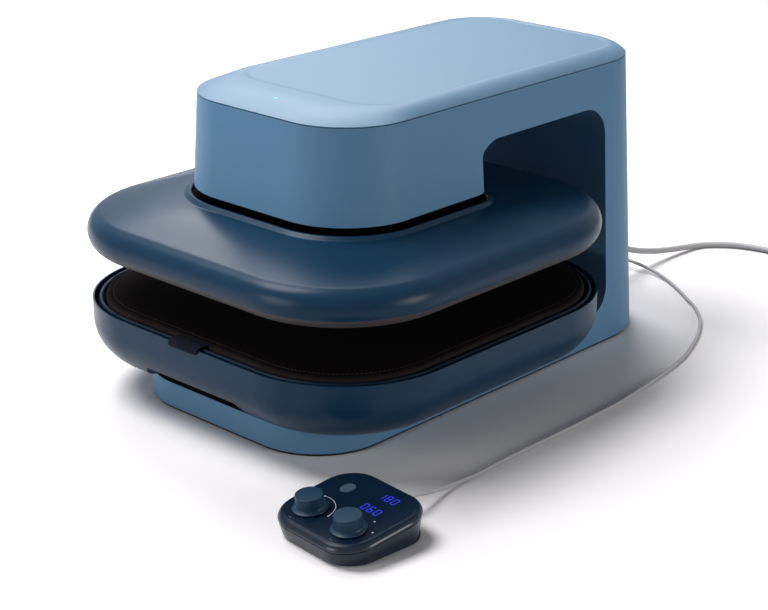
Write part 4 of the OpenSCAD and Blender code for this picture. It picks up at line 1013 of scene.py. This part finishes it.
# %% Finishes of the inner parts
def worked(colour, rough, drawn=(1, 1, 1), grain=1.0):
    """Metal with a grain drawn out along an axis."""
    def paint(place):
        lines = place.node("Mapping", {}, {"Vector": place, "Scale": drawn}).noise(grain, 3.0)
        cloud = place.noise(45, 3.0)
        return {"Base Color": cloud.blend(shaded(colour, 0.9), shaded(colour, 1.08)),
                "Roughness": rough + 0.2 * (lines - 0.5) + 0.1 * (cloud - 0.5), "Normal": lines.bump(0.01)}
    return paint


def celled(colour, size, rough, depth):
    """Foam, board or cast ceramic: cells of a size, darker between them."""
    def paint(place):
        cell = place.node("TexVoronoi", {}, {"Vector": place, "Scale": 1 / (size * MM)}, "Distance")
        tone = place.noise(size * 12, 2.0)
        return {"Base Color": (0.6 * cell + 0.4 * tone).blend(shaded(colour, 0.8), shaded(colour, 1.15)),
                "Roughness": rough + 0.1 * (tone - 0.5), "Normal": cell.bump(depth)}
    return paint


def metal(name, colour, rough, metallic=1.0, **grain):
    """Finish of a metal part."""
    return finish(name, worked(colour, rough, **grain), Metallic=metallic)


along_y, along_z = dict(drawn=(1, 0.05, 1), grain=0.6), dict(drawn=(1, 1, 0.05), grain=0.5)
wool = felt(srgb(196, 184, 150), srgb(196, 184, 150))
coated = moulded(srgb(58, 60, 62), 0.42, grain=0.7, pits=0.03)
board = celled(srgb(28, 92, 58), 1.6, 0.35, 0.03)
ceramic = celled(srgb(228, 223, 212), 0.8, 0.5, 0.02)
foam = celled(srgb(208, 192, 160), 1.2, 0.9, 0.3)
inner = {
    "frame_steel": metal("frame_steel", srgb(150, 154, 158), 0.45, 0.9),
    "bright_steel": metal("bright_steel", srgb(206, 208, 212), 0.24, **along_z),
    "motor_steel": metal("motor_steel", srgb(172, 176, 180), 0.34, **along_y),
    "element_steel": metal("element_steel", srgb(122, 98, 82), 0.5, 0.9),
    "nut_brass": metal("nut_brass", srgb(200, 164, 96), 0.3, drawn=(1, 1, 0.08), grain=0.6),
    "plate_aluminium": finish("plate_aluminium", coated, Metallic=0.3),
    "board_green": finish("board_green", board, Specular_IOR_Level=0.5),
    "ceramic_white": finish("ceramic_white", ceramic, Specular_IOR_Level=0.4),
    "insulation_felt": finish("insulation_felt", wool, Specular_IOR_Level=0.05),
    "pad_foam": finish("pad_foam", foam, Specular_IOR_Level=0.05),
    "black_plastic": black, "sole_rubber": sole_black}
slot_of = {part["node"]: part["material_slot"] for part in frame["record"]["subparts"]}
carried = [name for name in nodes if not nodes[name].hide_render]
for name in carried:
    for place in nodes[name].material_slots:
        place.material = inner[slot_of[name]]
print(len(carried), "CAD nodes shown as they are")

# %% [markdown]
# A cord is more than a bent rod: whoever uses the press may want to lay it another way. Here the lengths of
# the two cords, as they were laid out above, are printed.

# %% Cord lengths
tuple(mains_line[0] * MM)
print("cords of", round(control_long, 2), "and", round(mains_long, 2), "m")

# %% [markdown]
# The stage is a plain pale floor. Camera and glossy rays see it brighter than diffuse light does, so that it
# runs out to white as in the photograph, while it still takes the press's shadow and throws little light back
# up. The sky is white for the camera, dimmer in gloss, and nearly dark for diffuse light, so that the lamps
# model the shapes. The key lamp hangs high at the left, a little to the front, and a second one high at the
# left behind. Two weak panels stand low, one in front and one at the right, and lift the sides that the lamps
# leave dark.

# %% Stage and light
def seen_by(tree, *rays):
    """1 for these kinds of ray and 0 for others."""
    found = [Wire(tree).node("LightPath", output=f"Is {ray} Ray") for ray in rays]
    return Wire(tree).node("Math", {"operation": "MINIMUM"}, {0: sum(found[1:], found[0]), 1: 1.0})


floor_half, floor_dim, floor_bright = 15, (0.30, 0.29, 0.30, 1), (1.16, 1.13, 1.15, 1)
floor_mesh = bpy.data.meshes.new("bench_floor")
corners = [(x * floor_half, y * floor_half, 0) for x, y in ((-1, -1), (1, -1), (1, 1), (-1, 1))]
floor_mesh.from_pydata(corners, [], [(0, 1, 2, 3)])
floor = bpy.data.objects.new("bench_floor", floor_mesh)
scene.collection.objects.link(floor)
pale = bpy.data.materials.new("floor_paint")
pale.use_nodes = True
floor_mesh.materials.append(pale)
tree = pale.node_tree
tree.nodes.clear()
tone = seen_by(tree, "Camera", "Glossy").blend(floor_dim, floor_bright)
matt = tone.node("BsdfDiffuse", {}, {"Color": tone})
tree.links.new(matt.socket, tree.nodes.new("ShaderNodeOutputMaterial").inputs["Surface"])

ambient, gloss_dim = 0.08, 0.4
world = bpy.data.worlds.new("studio")
scene.world = world
world.use_nodes = True
tree = world.node_tree
sky = tree.nodes["Background"]
white = seen_by(tree, "Camera", "Glossy", "Transmission")
strength = ambient + (1 - ambient) * white - gloss_dim * seen_by(tree, "Glossy")
tree.links.new(strength.socket, sky.inputs["Strength"])
sky.inputs["Color"].default_value = (1, 1, 1, 1)


def soft_lamp(name, place, size, watts):
    """A round area lamp that looks at the press."""
    data = bpy.data.lights.new(name, "AREA")
    data.shape, data.size, data.energy = "DISK", size, watts
    lamp = bpy.data.objects.new(name, data)
    scene.collection.objects.link(lamp)
    lamp.location = place
    lamp.rotation_mode = "QUATERNION"
    lamp.rotation_quaternion = (Vector((0, 0, 0.15)) - Vector(place)).to_track_quat("-Z", "Y")


soft_lamp("key_lamp", (-1.1, -0.75, 2.5), 1.5, 58)
soft_lamp("back_lamp", (-1.4, 1.0, 1.9), 1.6, 40)
soft_lamp("front_panel", (-0.5, -2.4, 0.6), 1.2, 16)
soft_lamp("side_panel", (2.4, 0.5, 0.45), 1.0, 19)
print(sum(lamp.energy for lamp in bpy.data.lights), "watts from", len(bpy.data.lights), "lamps")
